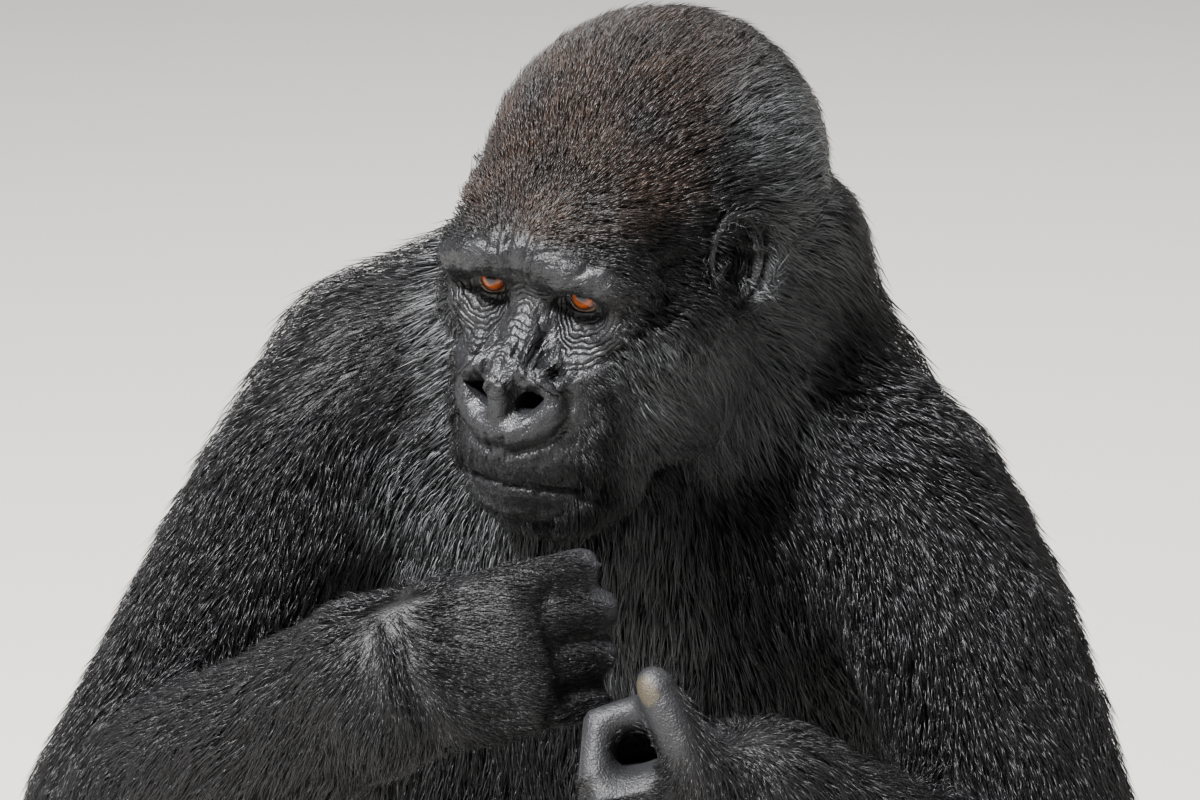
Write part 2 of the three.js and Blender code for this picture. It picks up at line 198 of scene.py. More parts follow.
# %% The head's own axes
EYE_SPACING = 62.0  # between the eyes' centres, at the size the head is drawn
EYE_AT = np.array([79.0, 31.0, 17.0])  # the left eye: forward, leftward and up from between the ears
HEAD_PITCH = math.radians(7.3)  # how far the muzzle is lowered

eye_centre = {side: middle(f"eye_{side}") for side in SIDES}
across = eye_centre["left"] - eye_centre["right"]
HEAD_SCALE = np.linalg.norm(across) / EYE_SPACING
leftward = unit(across)
level = unit(np.cross(leftward, [0, 0, 1]))
raised = np.cross(level, leftward)
forward = math.cos(HEAD_PITCH) * level - math.sin(HEAD_PITCH) * raised
HEAD_AXES = np.stack([forward, leftward, np.cross(forward, leftward)])
eye_middle = (eye_centre["left"] + eye_centre["right"]) / 2
HEAD_AT = eye_middle - HEAD_SCALE * np.array([EYE_AT[0], 0, EYE_AT[2]]) @ HEAD_AXES


def from_head(q):
    """Points drawn on the head's own axes, in the frame of the whole animal."""
    return HEAD_AT + HEAD_SCALE * (q @ HEAD_AXES)


def to_head(p):
    """Points of the whole animal on the head's own axes."""
    return (p - HEAD_AT) @ HEAD_AXES.T / HEAD_SCALE


print(f"head drawn at {HEAD_SCALE:.3f} of its size, centred on {HEAD_AT.round().tolist()}")

# %% The bones, and what the coat is like on each
BONES = []


def bone(name, start, end, girth, depth, length, width, along, fall):
    """A stretch of body: half its thickness, the coat's depth, the hairs' length and width, how
    far they run from start to end (1) or back (-1), and how far they hang down."""
    BONES.append(dict(name=name, start=np.array(start), end=np.array(end), girth=girth, depth=depth,
                      length=length, width=width, along=along, fall=fall))


chest = (shoulder["left"] + shoulder["right"]) / 2
belly = (hip["left"] + hip["right"]) / 2 + [0, 20, 60]
occiput = from_head(np.array([-40, 0, 42]))
chin = from_head(np.array([50, 0, -40]))
bone("head", occiput, chin, 84, 11, 22, 0.62, -1, 0.2)
bone("neck", chest + [0, 30, 60], HEAD_AT + [40, 60, -5], 66, 14, 34, 0.8, -1, 0.6)
bone("trunk", chest + [0, 20, -60], belly, 165, 16, 38, 0.95, 0.5, 0.8)
for side in SIDES:
    bone(f"shoulder_{side}", chest, shoulder[side], 84, 14, 36, 0.8, 0.8, 0.7)
    bone(f"upper_arm_{side}", shoulder[side], elbow[side], 62, 13, 36, 0.7, 1, 0.35)
    bone(f"forearm_{side}", elbow[side], wrist[side], 50, 11, 32, 0.65, -0.7, 0.6)
    bone(f"hand_{side}", wrist[side], knuckles[side], 40, 1.5, 11, 0.45, 1, 0.2)
    bone(f"thigh_{side}", hip[side], knee[side], 88, 14, 40, 1.0, 1, 0.5)
    bone(f"shank_{side}", knee[side], ankle[side], 50, 11, 32, 0.9, 1, 0.3)
    toes = ankle[side] * [1, 1, 0] + [0, -165, 15]
    bone(f"foot_{side}", ankle[side] - [0, 0, 20], toes, 42, 2, 10, 0.55, 1, 0)
BONE_NAMES = [b["name"] for b in BONES]


def bones_of(part):
    """Which bones a part of the skin may belong to: a hand its own forearm's and hand's only."""
    kind, _, side = part.partition("_")
    near = {"head": ["head", "neck"], "hand": [f"forearm_{side}", f"hand_{side}"],
            "foot": [f"shank_{side}", f"foot_{side}"]}
    rest = [name for name in BONE_NAMES if not name.startswith(("hand", "foot"))]
    return np.isin(BONE_NAMES, near.get(kind, rest))


def bone_shares(p, allowed):
    """Each point's share in each bone that is allowed it: e to the power of minus 8 times its
    distance from the bone in half thicknesses, made to add up to 1."""
    far = []
    for b in BONES:
        run = b["end"] - b["start"]
        t = np.clip((p - b["start"]) @ run / (run @ run), 0, 1)
        far.append(np.linalg.norm(p - b["start"] - t[:, None] * run, axis=1) / b["girth"])
    far = np.array(far).T + 99 * ~np.broadcast_to(allowed, (len(p), len(BONES)))
    share = np.exp(-8 * (far - far.min(1, keepdims=True)))
    return share / share.sum(1, keepdims=True)


def along_bone(p, start, end):
    """How far along from start (0) to end (1) each point lies."""
    return np.clip((p - start) @ (end - start) / ((end - start) @ (end - start)), 0, 1)


def of_bones(shares, key):
    """The mean of one of the bones' values, weighted by share."""
    return shares @ np.array([b[key] for b in BONES], float)


# %% [markdown]
# ## The head as a field of distances
#
# A skull, a muzzle and a brow ridge could be modelled face by face, or as one formula: a number
# at every place in space that says how far outside the head it lies. Ellipsoids and bent rods
# are easy to write this way, and a soft minimum melts them together as flesh does over bone. A
# soft maximum hollows the orbits out of it.

# %% The formulas
def soft_min(a, b, k):
    """The smaller of a and b, rounded where they are within k of each other."""
    h = np.clip(k - np.abs(a - b), 0, None) / k
    return np.minimum(a, b) - h * h * k / 4


def soft_max(a, b, k):
    """The larger of a and b, rounded where they are within k of each other."""
    return -soft_min(-a, -b, k)


def ellipsoid(p, centre, radii):
    """How far p lies outside an ellipsoid: n (n - 1) / |gradient of n|, n the scaled radius."""
    q = p - np.array(centre, float)
    r = np.array(radii, float)
    near = np.linalg.norm(q / r, axis=-1)
    slope = np.linalg.norm(q / r**2, axis=-1)
    return near * (near - 1) / np.maximum(slope, 1e-9)


def chain(p, points, radii, k):
    """How far p lies outside a bent rod: the soft union of the straight rods it is made of."""
    field = None
    for a, b, r0, r1 in zip(points, points[1:], radii, radii[1:]):
        a = np.array(a, float)
        d = np.array(b, float) - a
        t = np.clip((p - a) @ d / (d @ d), 0, 1)
        part = np.linalg.norm(p - a - t[..., None] * d, axis=-1) - (r0 + (r1 - r0) * t)
        field = part if field is None else soft_min(field, part, k)
    return field


def above(x, low, fade):
    """1 for x over low, falling smoothly to 0 within fade below it: 3 t^2 - 2 t^3."""
    t = np.clip((x - low + fade) / fade, 0, 1)
    return 3 * t**2 - 2 * t**3


def below(x, high, fade):
    """1 for x under high, falling smoothly to 0 within fade over it."""
    t = np.clip((high + fade - x) / fade, 0, 1)
    return 3 * t**2 - 2 * t**3


def window(x, low, high, fade):
    """1 for x between low and high, falling smoothly to 0 within fade on either side."""
    return above(x, low, fade) * below(x, high, fade)


# %% The head, without its coat
EYE_RADIUS = 13.0
BROW = [(95, 0, 45), (98, 14, 43), (98, 32, 38), (91, 48, 33), (79, 58, 27)]
BROW_RADII = [10.5, 11.5, 12, 10.5, 8.5]
BRIDGE = [(92, 0, 42), (83, 0, 22), (86, 0, 6), (104, 0, -6), (115, 0, -14)]
BRIDGE_RADII = [10, 8, 8.5, 10, 9]
NOSE_PLATE = (110, 0, -40), (18, 29, 21)  # its centre and radii
NOSE_RIM = [(120, 28, -27), (121, 29, -38), (124, 24, -46), (128, 15, -51), (131, 6, -53),
            (131, -1, -53)]
NOSE_RIM_RADII = [5, 6, 6.5, 7, 7, 7]
NOSE_WING = [(122, 5, -16), (124, 14, -17), (122, 23, -20), (119, 29, -26)]
NOSE_WING_RADII = [6.5, 7, 6.5, 5.2]
NOSE_TIP = [(120, 0, -12), (129, 0, -25), (131, 0, -40), (130, 0, -52)]
NOSE_TIP_RADII = [8, 8.5, 5.5, 6.5]
NOSE_BACK = [(119, 28, -26), (97, 37, -27)], [(120, 28, -42), (98, 37, -46)]  # from wing to cheek
MOUTH_HEIGHT = -86.0


def head_field(points):
    """How far outside the bare head a point on the head's own axes lies."""
    p = points.copy()
    p[..., 1] = np.sqrt(p[..., 1] ** 2 + 0.3)  # both sides alike, without a crease between
    skull = ellipsoid(p, (-34, 0, 43), (106, 88, 90))
    d = soft_min(skull, ellipsoid(p, (56, 0, 0), (41, 60, 58)), 30)
    d = soft_min(d, ellipsoid(p, (24, 42, -34), (54, 36, 62)), 24)
    upper_jaw = ellipsoid(p, (82, 0, -68), (54, 52, 42))
    lower_jaw = ellipsoid(p, (79, 0, -98), (48, 45, 28))
    d = soft_min(d, soft_min(upper_jaw, lower_jaw, 14), 18)
    d = soft_min(d, chain(p, [(84, 50, 0), (62, 63, -8), (30, 70, -8)], [13, 12, 9], 10), 18)
    d = soft_min(d, chain(p, [(76, 0, 66), (66, 40, 58)], [12, 12], 9), 34)
    d = soft_min(d, chain(p, BROW, BROW_RADII, 9), 24)
    d = soft_max(d, -ellipsoid(p, (104, 31, 14), (20, 20, 11)), 9)
    d = soft_min(d, np.linalg.norm(p - EYE_AT, axis=-1) - (EYE_RADIUS - 2.2), 5)
    d = soft_min(d, ellipsoid(p, (81, 35, 0), (13, 19, 10)), 9)
    d = soft_min(d, chain(p, BRIDGE, BRIDGE_RADII, 12), 14)
    d = soft_min(d, ellipsoid(p, (86, 24, -20), (20, 19, 16)), 14)
    for rod in NOSE_BACK:
        d = soft_min(d, chain(p, rod, [6, 14], 6), 12)
    nose = soft_min(ellipsoid(p, *NOSE_PLATE), chain(p, NOSE_RIM, NOSE_RIM_RADII, 6), 5)
    nose = soft_min(nose, chain(p, NOSE_WING, NOSE_WING_RADII, 5), 4)
    nose = soft_min(nose, chain(p, NOSE_TIP, NOSE_TIP_RADII, 5), 5)
    d = soft_min(d, nose, 5)
    lower_lip = chain(p, [(118, 0, -95), (111, 20, -94), (93, 37, -91)], [8.5, 8, 6], 6)
    return soft_min(d, lower_lip, 7)


# %% [markdown]
# ## Folds and creases
#
# The real face is bare, thick skin that has folded round the eyes, across the bridge and at the
# root of the nose. Folds can be sculpted by hand, but a formula keeps them as evenly spaced as
# they grow: the surface gets a height, with grooves measured round the eye or across the nose,
# bent a little by noise so that no two run alike. Folds finer than the mesh are counted on its
# points, and the material draws them.

# %% Grooves and noise
def creases(x, spacing, width):
    """Grooves across x: 1 at every multiple of spacing, falling to 0 within width."""
    off = np.abs(x / spacing - np.round(x / spacing)) * spacing
    return np.exp(-((off / width) ** 2))


def groove(x, width):
    """A single groove at x = 0."""
    return np.exp(-((x / width) ** 2))


def ripple(p, size, seed, waves=8):
    """Smooth noise of about -1 to 1: a sum of sines along random ways, size long."""
    rng = np.random.default_rng(seed)
    ways = unit(rng.normal(size=(waves, 3))) * (2 * math.pi / size * rng.uniform(0.7, 1.4, (waves, 1)))
    return np.sin(p @ ways.T + rng.uniform(0, 2 * math.pi, waves)).sum(-1) / math.sqrt(waves)


# %% The relief of the face
def round_eye(p):
    """How far p is from the middle of the eye, as the folds below it run: drawn in near the nose."""
    out, up = np.abs(p[..., 1]) - EYE_AT[1] - 1, p[..., 2] - EYE_AT[2]
    return np.hypot(out * np.where(out < 0, 1.6, 0.9), up)


def nose_line(z):
    """How far from the middle the crease runs that leads from the eye's corner past the nose."""
    return np.interp(z, [-30, -12, -1, 14], [34, 18, 12.5, 8])


def face_relief(p):
    """How far the skin is raised at p, in mm: the sum of the face's larger folds."""
    x, y, z = p[..., 0], np.abs(p[..., 1]), p[..., 2]
    front = above(x, 60, 15)
    wander = ripple(p, 16, 3)
    lower = window(z - EYE_AT[2], -60, -6, 6) * front
    ring = round_eye(p) + 0.8 * wander
    h = -0.8 * creases(ring - 14, 6.4, 1.5) * window(ring, 13, 29, 3) * lower
    h += -2.2 * groove(ring - 35, 2.2) * lower * window(y, 17, 80, 5)
    h += -2.4 * groove(y - 5.0 - 0.05 * (z - 45), 1.8) * window(z, 33, 56, 7) * front
    h += -1.4 * groove(y - 11.5 - 0.1 * (z - 45), 1.3) * window(z, 36, 54, 7) * front
    h += -1.5 * groove(z - 52 + 0.012 * (y - 30) ** 2, 1.8) * window(y, 14, 46, 6) * front
    off_line = y - nose_line(z) + 0.5 * wander
    pair = groove(off_line, 1.6) + 0.8 * groove(off_line - 4.2, 1.6)
    h += -0.8 * pair * window(z, -12, 10, 6) * front
    folded = window(z, -25, -6, 4) * below(y, 16, 5) * front
    h += 1.7 * np.sin((y + 0.35 * z + 3.4 * wander) * 0.9) * folded
    h += -2.6 * groove(y - 8.5 + 0.12 * (z + 24), 1.7) * window(z, -31, -15, 5) * front
    h += -1.7 * groove(y - 6.0, 1.3) * window(z, -66, -54, 4) * front
    flat = np.stack([x, y, z], -1)
    from_rim = chain(flat, NOSE_RIM, NOSE_RIM_RADII, 6)
    from_nose = np.minimum(from_rim, chain(flat, NOSE_WING, NOSE_WING_RADII, 5))
    h += -2.0 * groove(from_nose - 3.6, 1.5) * window(z, -66, -26, 5) * window(y, 9, 60, 5) * front
    line = z - (MOUTH_HEIGHT - 0.0025 * y**2 + 0.9 * np.sin(y / 9))
    mouth = below(y, 40, 6) * above(x, 70, 12)
    h += (0.9 * groove(line + 4.6, 3.0) - 3.6 * groove(line, 1.5)) * mouth
    return h + (0.2 * ripple(p, 5, 8, 12) + 0.4 * ripple(p, 10, 9, 9)) * front


# %% The fine folds, left to the material
def fine_folds(p):
    """Which fold a place is in, counted across the folds, and how deep the folds are there, 0 to
    1. They run round below the eye, across the bridge, along the brow and down the upper lip."""
    y, z = np.abs(p[:, 1]), p[:, 2]
    front = above(p[:, 0], 62, 12)
    ring = round_eye(p)
    off_line = y - nose_line(z)
    kinds = [(off_line / 4.2, window(off_line, -1.5, 6, 1.5) * window(z, -28, 12, 5)),
             (ring / 3.1, window(ring, 13, 34, 4) * window(z, -60, 15, 4) * window(y, 16, 80, 3)),
             (z / 3.3 + 0.12 * y, 0.6 * below(y, 11, 4) * window(z, -8, 25, 4)),
             (z / 3.6 - 0.05 * y, 0.22 * window(y, 15, 60, 5) * window(z, 30, 58, 5)),
             (y / 2.6 + 0.04 * z, 0.35 * below(y, 42, 8) * window(z, -82, -60, 4)),
             (y / 3.2 + 0.08 * z, 0.3 * below(y, 36, 8) * window(z, -104, -90, 4))]
    depths = np.stack([depth for _, depth in kinds])
    counts = np.stack([count for count, _ in kinds])
    deepest = depths.argmax(0)[None]
    ranked = np.sort(depths, axis=0)  # the folds fade out where one kind gives way to another
    depth = np.clip(1.6 * (ranked[-1] - ranked[-2]), 0, ranked[-1]) * front
    return np.take_along_axis(counts, deepest, 0)[0], depth


# %% [markdown]
# ## The head's surface
#
# A formula is not yet a mesh. Rays are sent out from inside the head in every direction, most
# of them towards the face, and each is followed from outside inwards until the field says that
# it is a few millimetres from the skin, where the hollows are still filled in. From there every
# point slides down the field's slope into the hollows of the face, while the grid is kept even.
# The result is a closed grid with a pole over each ear.

# %% A grid of rays
def spread(low, high, count, centre, half, extra):
    """count values from low to high, 1 + extra times as dense within half of centre."""
    x = np.linspace(low, high, 2000)
    density = 1 + extra * window(x, centre - half, centre + half, 0.25)
    total = np.concatenate([[0], np.cumsum((density[1:] + density[:-1]) / 2)])
    return np.interp(np.linspace(0, total[-1], count), total, x)


def ray_starts(turn, lift):
    """Where the rays start: behind the eyes, and nearer the nose as they turn down to it."""
    knots = [-math.pi, -1.3, -0.55, -0.3, 0.02, math.pi]
    ahead = np.interp(turn, knots, [-10, 35, 58, 56, -4, -10]) + 10
    down = np.interp(turn, knots, [20, -28, -27, -18, 19, 20]) - 20
    near = np.cos(lift) ** 2
    return np.stack([-10 + ahead * near, 0 * turn, 20 + down * near], -1)


STAND_OFF = 4.0  # mm from the skin at which the rays stop


def settled(grid, steps=14, reach=0.4):
    """A grid let down on the skin: each step goes most of the way down the field's slope, and
    all but the last few also draw each point to the middle of its four neighbours."""
    for step in range(steps):
        field = head_field(grid)
        slope = np.stack([head_field(grid + reach * way) - field for way in np.eye(3)], -1) / reach
        steepness = np.maximum((slope**2).sum(-1), 0.3)
        grid = grid - 0.6 * (field / steepness)[..., None] * slope
        if step < steps - 4:
            even = (np.roll(grid, 1, 1) + np.roll(grid, -1, 1)) / 2
            even[1:-1] = (even[1:-1] + (grid[:-2] + grid[2:]) / 2) / 2
            pull = 0.4 * (even - grid)
            grid = grid + pull - slope * ((pull * slope).sum(-1) / steepness)[..., None]
    return grid


def head_grid(turns, lifts):
    """The bare head as rows of points: turn runs round the ear-to-ear axis, lift along it."""
    turn = spread(-math.pi, math.pi, turns + 1, -0.17, 0.68, 3.5)[:-1]
    lift = spread(-math.pi / 2, math.pi / 2, lifts + 2, 0, 0.62, 2.2)[1:-1]
    turn, lift = np.meshgrid(turn, lift)
    way = np.stack([np.cos(lift) * np.cos(turn), np.sin(lift), np.cos(lift) * np.sin(turn)], -1)
    start = ray_starts(turn, lift)
    reach = np.full(turn.shape, 190.0)
    for _ in range(50):
        reach -= 0.8 * (head_field(start + way * reach[..., None]) - STAND_OFF)
    return settled(start + way * reach[..., None])


# %% Closing a grid
def enclosed(points, triangles):
    """The volume inside a closed surface: a sixth of the sum of (p x q) . r over its triangles."""
    p, q, r = (points[triangles[:, k]] for k in range(3))
    return (np.cross(p, q) * r).sum() / 6


def facing_out(points, triangles):
    """A closed surface, with its triangles turned round if the volume comes out negative."""
    return points, triangles[:, ::-1] if enclosed(points, triangles) < 0 else triangles


def halved(a, b, c, d):
    """Two triangles for each four-cornered cell a, b, c, d."""
    return np.concatenate([np.stack(corners, -1).reshape(-1, 3) for corners in ((a, b, c), (a, c, d))])


def closed_grid(grid):
    """Points and triangles of a grid whose columns meet: a fan closes each end."""
    rows, columns = grid.shape[:2]
    at = np.arange(rows * columns).reshape(rows, columns)
    a, b = at[:-1], np.roll(at, -1, 1)[:-1]
    c, d = np.roll(at, -1, 1)[1:], at[1:]
    fans = []
    for row, pole in ((at[0], rows * columns), (at[-1][::-1], rows * columns + 1)):
        fans.append(np.stack([np.full(columns, pole), np.roll(row, -1), row], 1))
    points = np.concatenate([grid.reshape(-1, 3), grid[[0, -1]].mean(1)])
    return facing_out(points, np.concatenate([halved(a, b, c, d), *fans]))


def ring_grid(grid):
    """Points and triangles of a grid whose rows and columns both meet, as on a bent ring."""
    rows, columns = grid.shape[:2]
    a = np.arange(rows * columns).reshape(rows, columns)
    b, d = np.roll(a, -1, 1), np.roll(a, -1, 0)
    c = np.roll(b, -1, 0)
    return facing_out(grid.reshape(-1, 3), halved(a, b, c, d))


# %% The head's mesh
HEAD_TURNS, HEAD_LIFTS = ((236, 172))
head_points, head_triangles = closed_grid(head_grid(HEAD_TURNS, HEAD_LIFTS))
head_normals = point_normals(head_points, head_triangles)
head_points = head_points + head_normals * face_relief(head_points)[:, None]
print(f"head: {len(head_triangles)} triangles, {np.ptp(head_points[:, 2]) * HEAD_SCALE:.0f} mm high")

# %% [markdown]
# ## Lids and ears
#
# A lid is a thin shell over the ball of the eye with an almond opening in it. It is made as a
# bent ring: one parameter runs round the opening, the other round the lid's own section, from
# the moist margin that touches the eye out over the ball and back beneath. The ear is a shallow
# cup with a rolled rim: its section runs from the hollow over the rim to the back. Nostrils and
# the hollows of the ears are made as solid shapes too, which are cut out of the skin later.

# %% Lids
LID_THICKNESS = 1.5
OPENING = {"inward": 74, "outward": 56, "up": 30, "down": 27}  # degrees on the ball of the eye
CORNER_FLATNESS = 0.75  # how far the inner corner stands off the ball


def eye_axes(side):
    """Forward, outward and upward at an eye, on the head's own axes."""
    ahead = np.array([1.0, 0, 0])
    up = np.array([0, 0, 1.0])
    return ahead, OUTWARD[side] * np.cross(up, ahead), up


def lid_shell(side, around=96):
    """Both lids as a ring. A point at angles a (outward) and b (upward) on a ball of radius r is
    r (ahead f + out cos b sin a + up sin b); the section widens the almond. f is cos b cos a, but
    nearer to 1 towards the nose, where the corner of the eye stands off the ball."""
    section = np.array([(0.0, -1.2), (0.0, 0.4), (0.03, 1.1), (0.09, LID_THICKNESS), (0.3, 1.7),
                        (0.62, 1.3), (1.0, 0.2), (1.0, -2.5), (0.5, -2.5)])
    phi = np.linspace(0, 2 * math.pi, around, endpoint=False)
    a = np.radians(np.where(np.cos(phi) > 0, OPENING["outward"], OPENING["inward"])) * np.cos(phi)
    up_or_down = np.where(np.sin(phi) > 0, OPENING["up"], OPENING["down"])
    b = np.radians(up_or_down) * np.sign(np.sin(phi)) * np.abs(np.sin(phi)) ** 0.9
    b = b - math.radians(3) * np.cos(phi)
    flat = 1 - CORNER_FLATNESS * np.clip(-np.cos(phi), 0, 1) ** 2
    wide = section[:, :1]
    a = a * (1 + np.where(np.cos(phi) > 0, 0.5, 0.25) * wide)
    b = b * (1 + 0.9 * wide) + 0.42 * wide * np.sin(phi)
    r = EYE_RADIUS + section[:, 1:]
    ahead, out, up = eye_axes(side)
    ahead_by = 1 - flat * (1 - np.cos(b) * np.cos(a))
    ball = ahead_by[..., None] * ahead + (np.cos(b) * np.sin(a))[..., None] * out
    centre = EYE_AT * [1, OUTWARD[side], 1]
    return centre + r[..., None] * (ball + np.sin(b)[..., None] * up)


# %% Ears
EAR_AT = np.array([9.0, 79.0, 22.0])
EAR_HALF = (16.0, 26.0)  # half its width and height


def ear_cup(side, around=56):
    """An ear: at angle phi the section's distance is scaled by the outline, a rounded drop that
    is wider at the top, and its height stands along the ear's own outward axis."""
    section = np.array([(0.08, -9.0), (0.35, -8.5), (0.6, -5.0), (0.68, 0.5), (0.74, 0.5), (0.84, 6.0),
                        (0.95, 9.0), (1.07, 8.0), (1.1, 5.0), (1.02, -1.0), (0.8, -9.0), (0.1, -12.0)])
    fine = np.linspace(0, len(section) - 1, 40)
    far, height = (np.interp(fine, np.arange(len(section)), column)[:, None] for column in section.T)
    phi = np.linspace(0, 2 * math.pi, around, endpoint=False)
    outline = 1 + 0.1 * np.sin(phi) + 0.05 * np.sin(2 * phi)
    face = unit(np.array([0.34, OUTWARD[side] * 0.94, 0.02]))
    back = unit(np.cross([0, 0, 1.0], face) * OUTWARD[side])
    up = unit(np.array([0, 0, 1.0]) - face[2] * face)
    backward = EAR_HALF[0] * np.cos(phi) * outline
    upward = EAR_HALF[1] * np.sin(phi) * outline
    flat = back * backward[:, None] + up * upward[:, None]
    rim = np.where(height > 0, height * (1 + 0.3 * np.cos(phi)), height)  # highest at the back
    return EAR_AT * [1, OUTWARD[side], 1] + flat[None] * far[..., None] + face * rim[..., None]


# %% Nostrils and the hollows of the ears
NOSTRIL_DEPTHS = np.array([150.0, 138.0, 132.0, 126.0, 120.0, 114.0, 108.0, 103.0])  # how far forward
NOSTRIL_ROUNDNESS = np.array([0, 0, 0.05, 0.2, 0.45, 0.7, 0.9, 1.0])
NOSTRIL_SIZE = np.array([1.25, 1.02, 0.97, 0.93, 0.9, 0.85, 0.75, 0.5])


def nostril(side, around=40):
    """The hollow of a nostril: drop-shaped sections, the point outwards, that turn round as they
    go in. At angle t a drop is middle + long cos t + short (0.62 - 0.38 cos t) sin t."""
    t = np.linspace(0, 2 * math.pi, around, endpoint=False)
    drop = np.array([18.5, -33.5]) + np.outer(13 * np.cos(t), [0.9, 0.42])
    drop = drop + np.outer(9 * (0.54 - 0.46 * np.cos(t)) * np.sin(t), [-0.25, 0.97])
    bore = np.array([14, -35]) + 7.5 * np.stack([np.cos(t), np.sin(t)], 1)
    rounded = NOSTRIL_ROUNDNESS[:, None, None]
    centre = (1 - rounded) * [16.5, -34.5] + rounded * [14, -35]
    flat = centre + NOSTRIL_SIZE[:, None, None] * ((1 - rounded) * drop + rounded * bore - centre)
    ahead = np.broadcast_to(NOSTRIL_DEPTHS[:, None, None], (*flat.shape[:2], 1))
    return np.concatenate([ahead, flat], 2) * [1, OUTWARD[side], 1]


EAR_HOLLOW = (11.0, 15.0, 17.0)  # half its length, depth and height


def ear_hollow(side, rows=24, around=40):
    """The hollow of an ear: an ellipsoid, centred low in the cup and a little inside it."""
    lift = np.linspace(-1.5, 1.5, rows)[:, None]
    turn = np.linspace(0, 2 * math.pi, around, endpoint=False)
    level, upward = np.cos(lift), np.sin(lift) + 0 * turn
    ball = np.stack([level * np.cos(turn), level * np.sin(turn), upward], -1)
    return (EAR_AT + [0.5, 0, -3]) * [1, OUTWARD[side], 1] + ball * EAR_HOLLOW


nostrils = [closed_grid(nostril(side)) for side in SIDES]
ear_hollows = [closed_grid(ear_hollow(side)) for side in SIDES]
lids = {side: ring_grid(lid_shell(side)) for side in SIDES}
ears = {side: closed_grid(ear_cup(side)) for side in SIDES}
opening = sum(math.sin(math.radians(OPENING[end])) for end in ("inward", "outward"))
print(f"eye's opening: {opening * EYE_RADIUS * HEAD_SCALE:.1f} mm wide")

# %% [markdown]
# ## One skin for the whole body
#
# The CAD solids stop half a millimetre apart, and a living skin has no such seams. A voxel
# remesh fills the space inside all of them with small cubes and lays one closed surface round
# the lot, which smoothing then relaxes. The body can do with cubes of 11 mm, as the coat hides
# it, and the hands and feet need 3 to 5 mm. Each surface is then moved in by the depth of the
# coat. Where one ends inside another, such as the body inside the head, its end is drawn in, so
# that it never shows through.

# %% Melting solids into one surface
def melted(nodes, voxel, rounds, puff=0.5, limits=()):
    """One closed surface round several solids, each puffed out so that they touch. A limit is a
    node, a place, a way and a length: what lies further off along that way is pressed flat."""
    points, triangles, count = [], [], 0
    for node in nodes:
        p, t = solids[node]
        p = p + point_normals(p, t) * puff
        for limited, place, way, length in limits:
            if limited == node:
                p = p - np.clip((p - place) @ way - length, 0, None)[:, None] * way
        points.append(p)
        triangles.append(t + count)
        count += len(p)
    thing = make_object("melting", np.concatenate(points), np.concatenate(triangles))
    remesh = thing.modifiers.new("melt", "REMESH")
    remesh.mode = "VOXEL"
    remesh.voxel_size = voxel * MM
    points, triangles = finished(thing)
    return smoothed(points, triangles, rounds), triangles


def drawn_in(points, start, way, low, high, least, share=1.0):
    """Points drawn in towards a line: not at all as far as low along it, and from high on to
    least of their distance from it."""
    t = (points - start) @ way
    amount = (1 - least) * above(t, high, high - low) * share
    return points - amount[:, None] * (points - start - t[:, None] * way)


def inset(surface, depth):
    """A closed surface moved in by a depth given for each of its points."""
    points, triangles = surface
    return points - point_normals(points, triangles) * depth[:, None], triangles


# %% The body
BODY_CUBE = 11.0
limbs = [f"{part}_{side}" for part in ("upper_arm", "forearm", "thigh", "shank") for side in SIDES]
body = melted(["trunk", "neck", "head", *limbs], BODY_CUBE, 4)
shares = bone_shares(body[0], bones_of("body"))
points, triangles = inset(body, of_bones(shares, "depth"))

rim = above(points[:, 2], HEAD_AT[2] + 78, 70)  # the neck slopes in to the back of the head
outside = HEAD_SCALE * head_field(to_head(points))
points = points - ((outside + 12) * rim * (outside > 0))[:, None] * unit(points - HEAD_AT)
for turn in range(3):  # what lies in the head is drawn in below the fine head's skin, most in front
    q = to_head(points)
    front = above(q[:, 0], 30, 50)
    under = np.clip(5 + 8 * front - HEAD_SCALE * head_field(q), 0, 30) * (front if turn else 1)
    points = points - under[:, None] * unit(points - HEAD_AT)

for side in SIDES:  # a limb ends inside the sleeve of its hand or foot
    for limb, start, end in (("forearm", elbow, wrist), ("shank", knee, ankle)):
        near = shares[:, BONE_NAMES.index(f"{limb}_{side}")]
        way = unit(end[side] - start[side])
        length = np.linalg.norm(end[side] - start[side])
        points = drawn_in(points, start[side], way, length - 55, length - 20, 0.5, near)
body = points, triangles
print(f"body: {len(triangles)} triangles")

# %% Hands and feet
FINGERS = ("thumb", "index_finger", "middle_finger", "ring_finger", "little_finger")
HAND_CUBE, FOOT_CUBE = 3.2, 4.8
HAND_SLEEVE, FOOT_SLEEVE = 100, 80  # mm of forearm or shank that come with a hand or foot
COAT_ON_LIMB = 11  # the coat's depth on the forearm and shank
PUFF = {"left": 4.5, "right": 1.8}  # the open hand rounds off, and the fist stays tight
ROUNDS = {"left": 8, "right": 3}


def end_of_limb(surface, start, back, depth, bare_for, sleeve):
    """A hand or foot set in by depth, and further on its sleeve, which lies inside the limb."""
    t = (surface[0] - start) @ back
    deeper = (COAT_ON_LIMB - depth) * above(t, bare_for, bare_for - 5)
    points, triangles = inset(surface, depth + deeper)
    return drawn_in(points, start, back, 0.7 * sleeve, sleeve - 2, 0.5), triangles


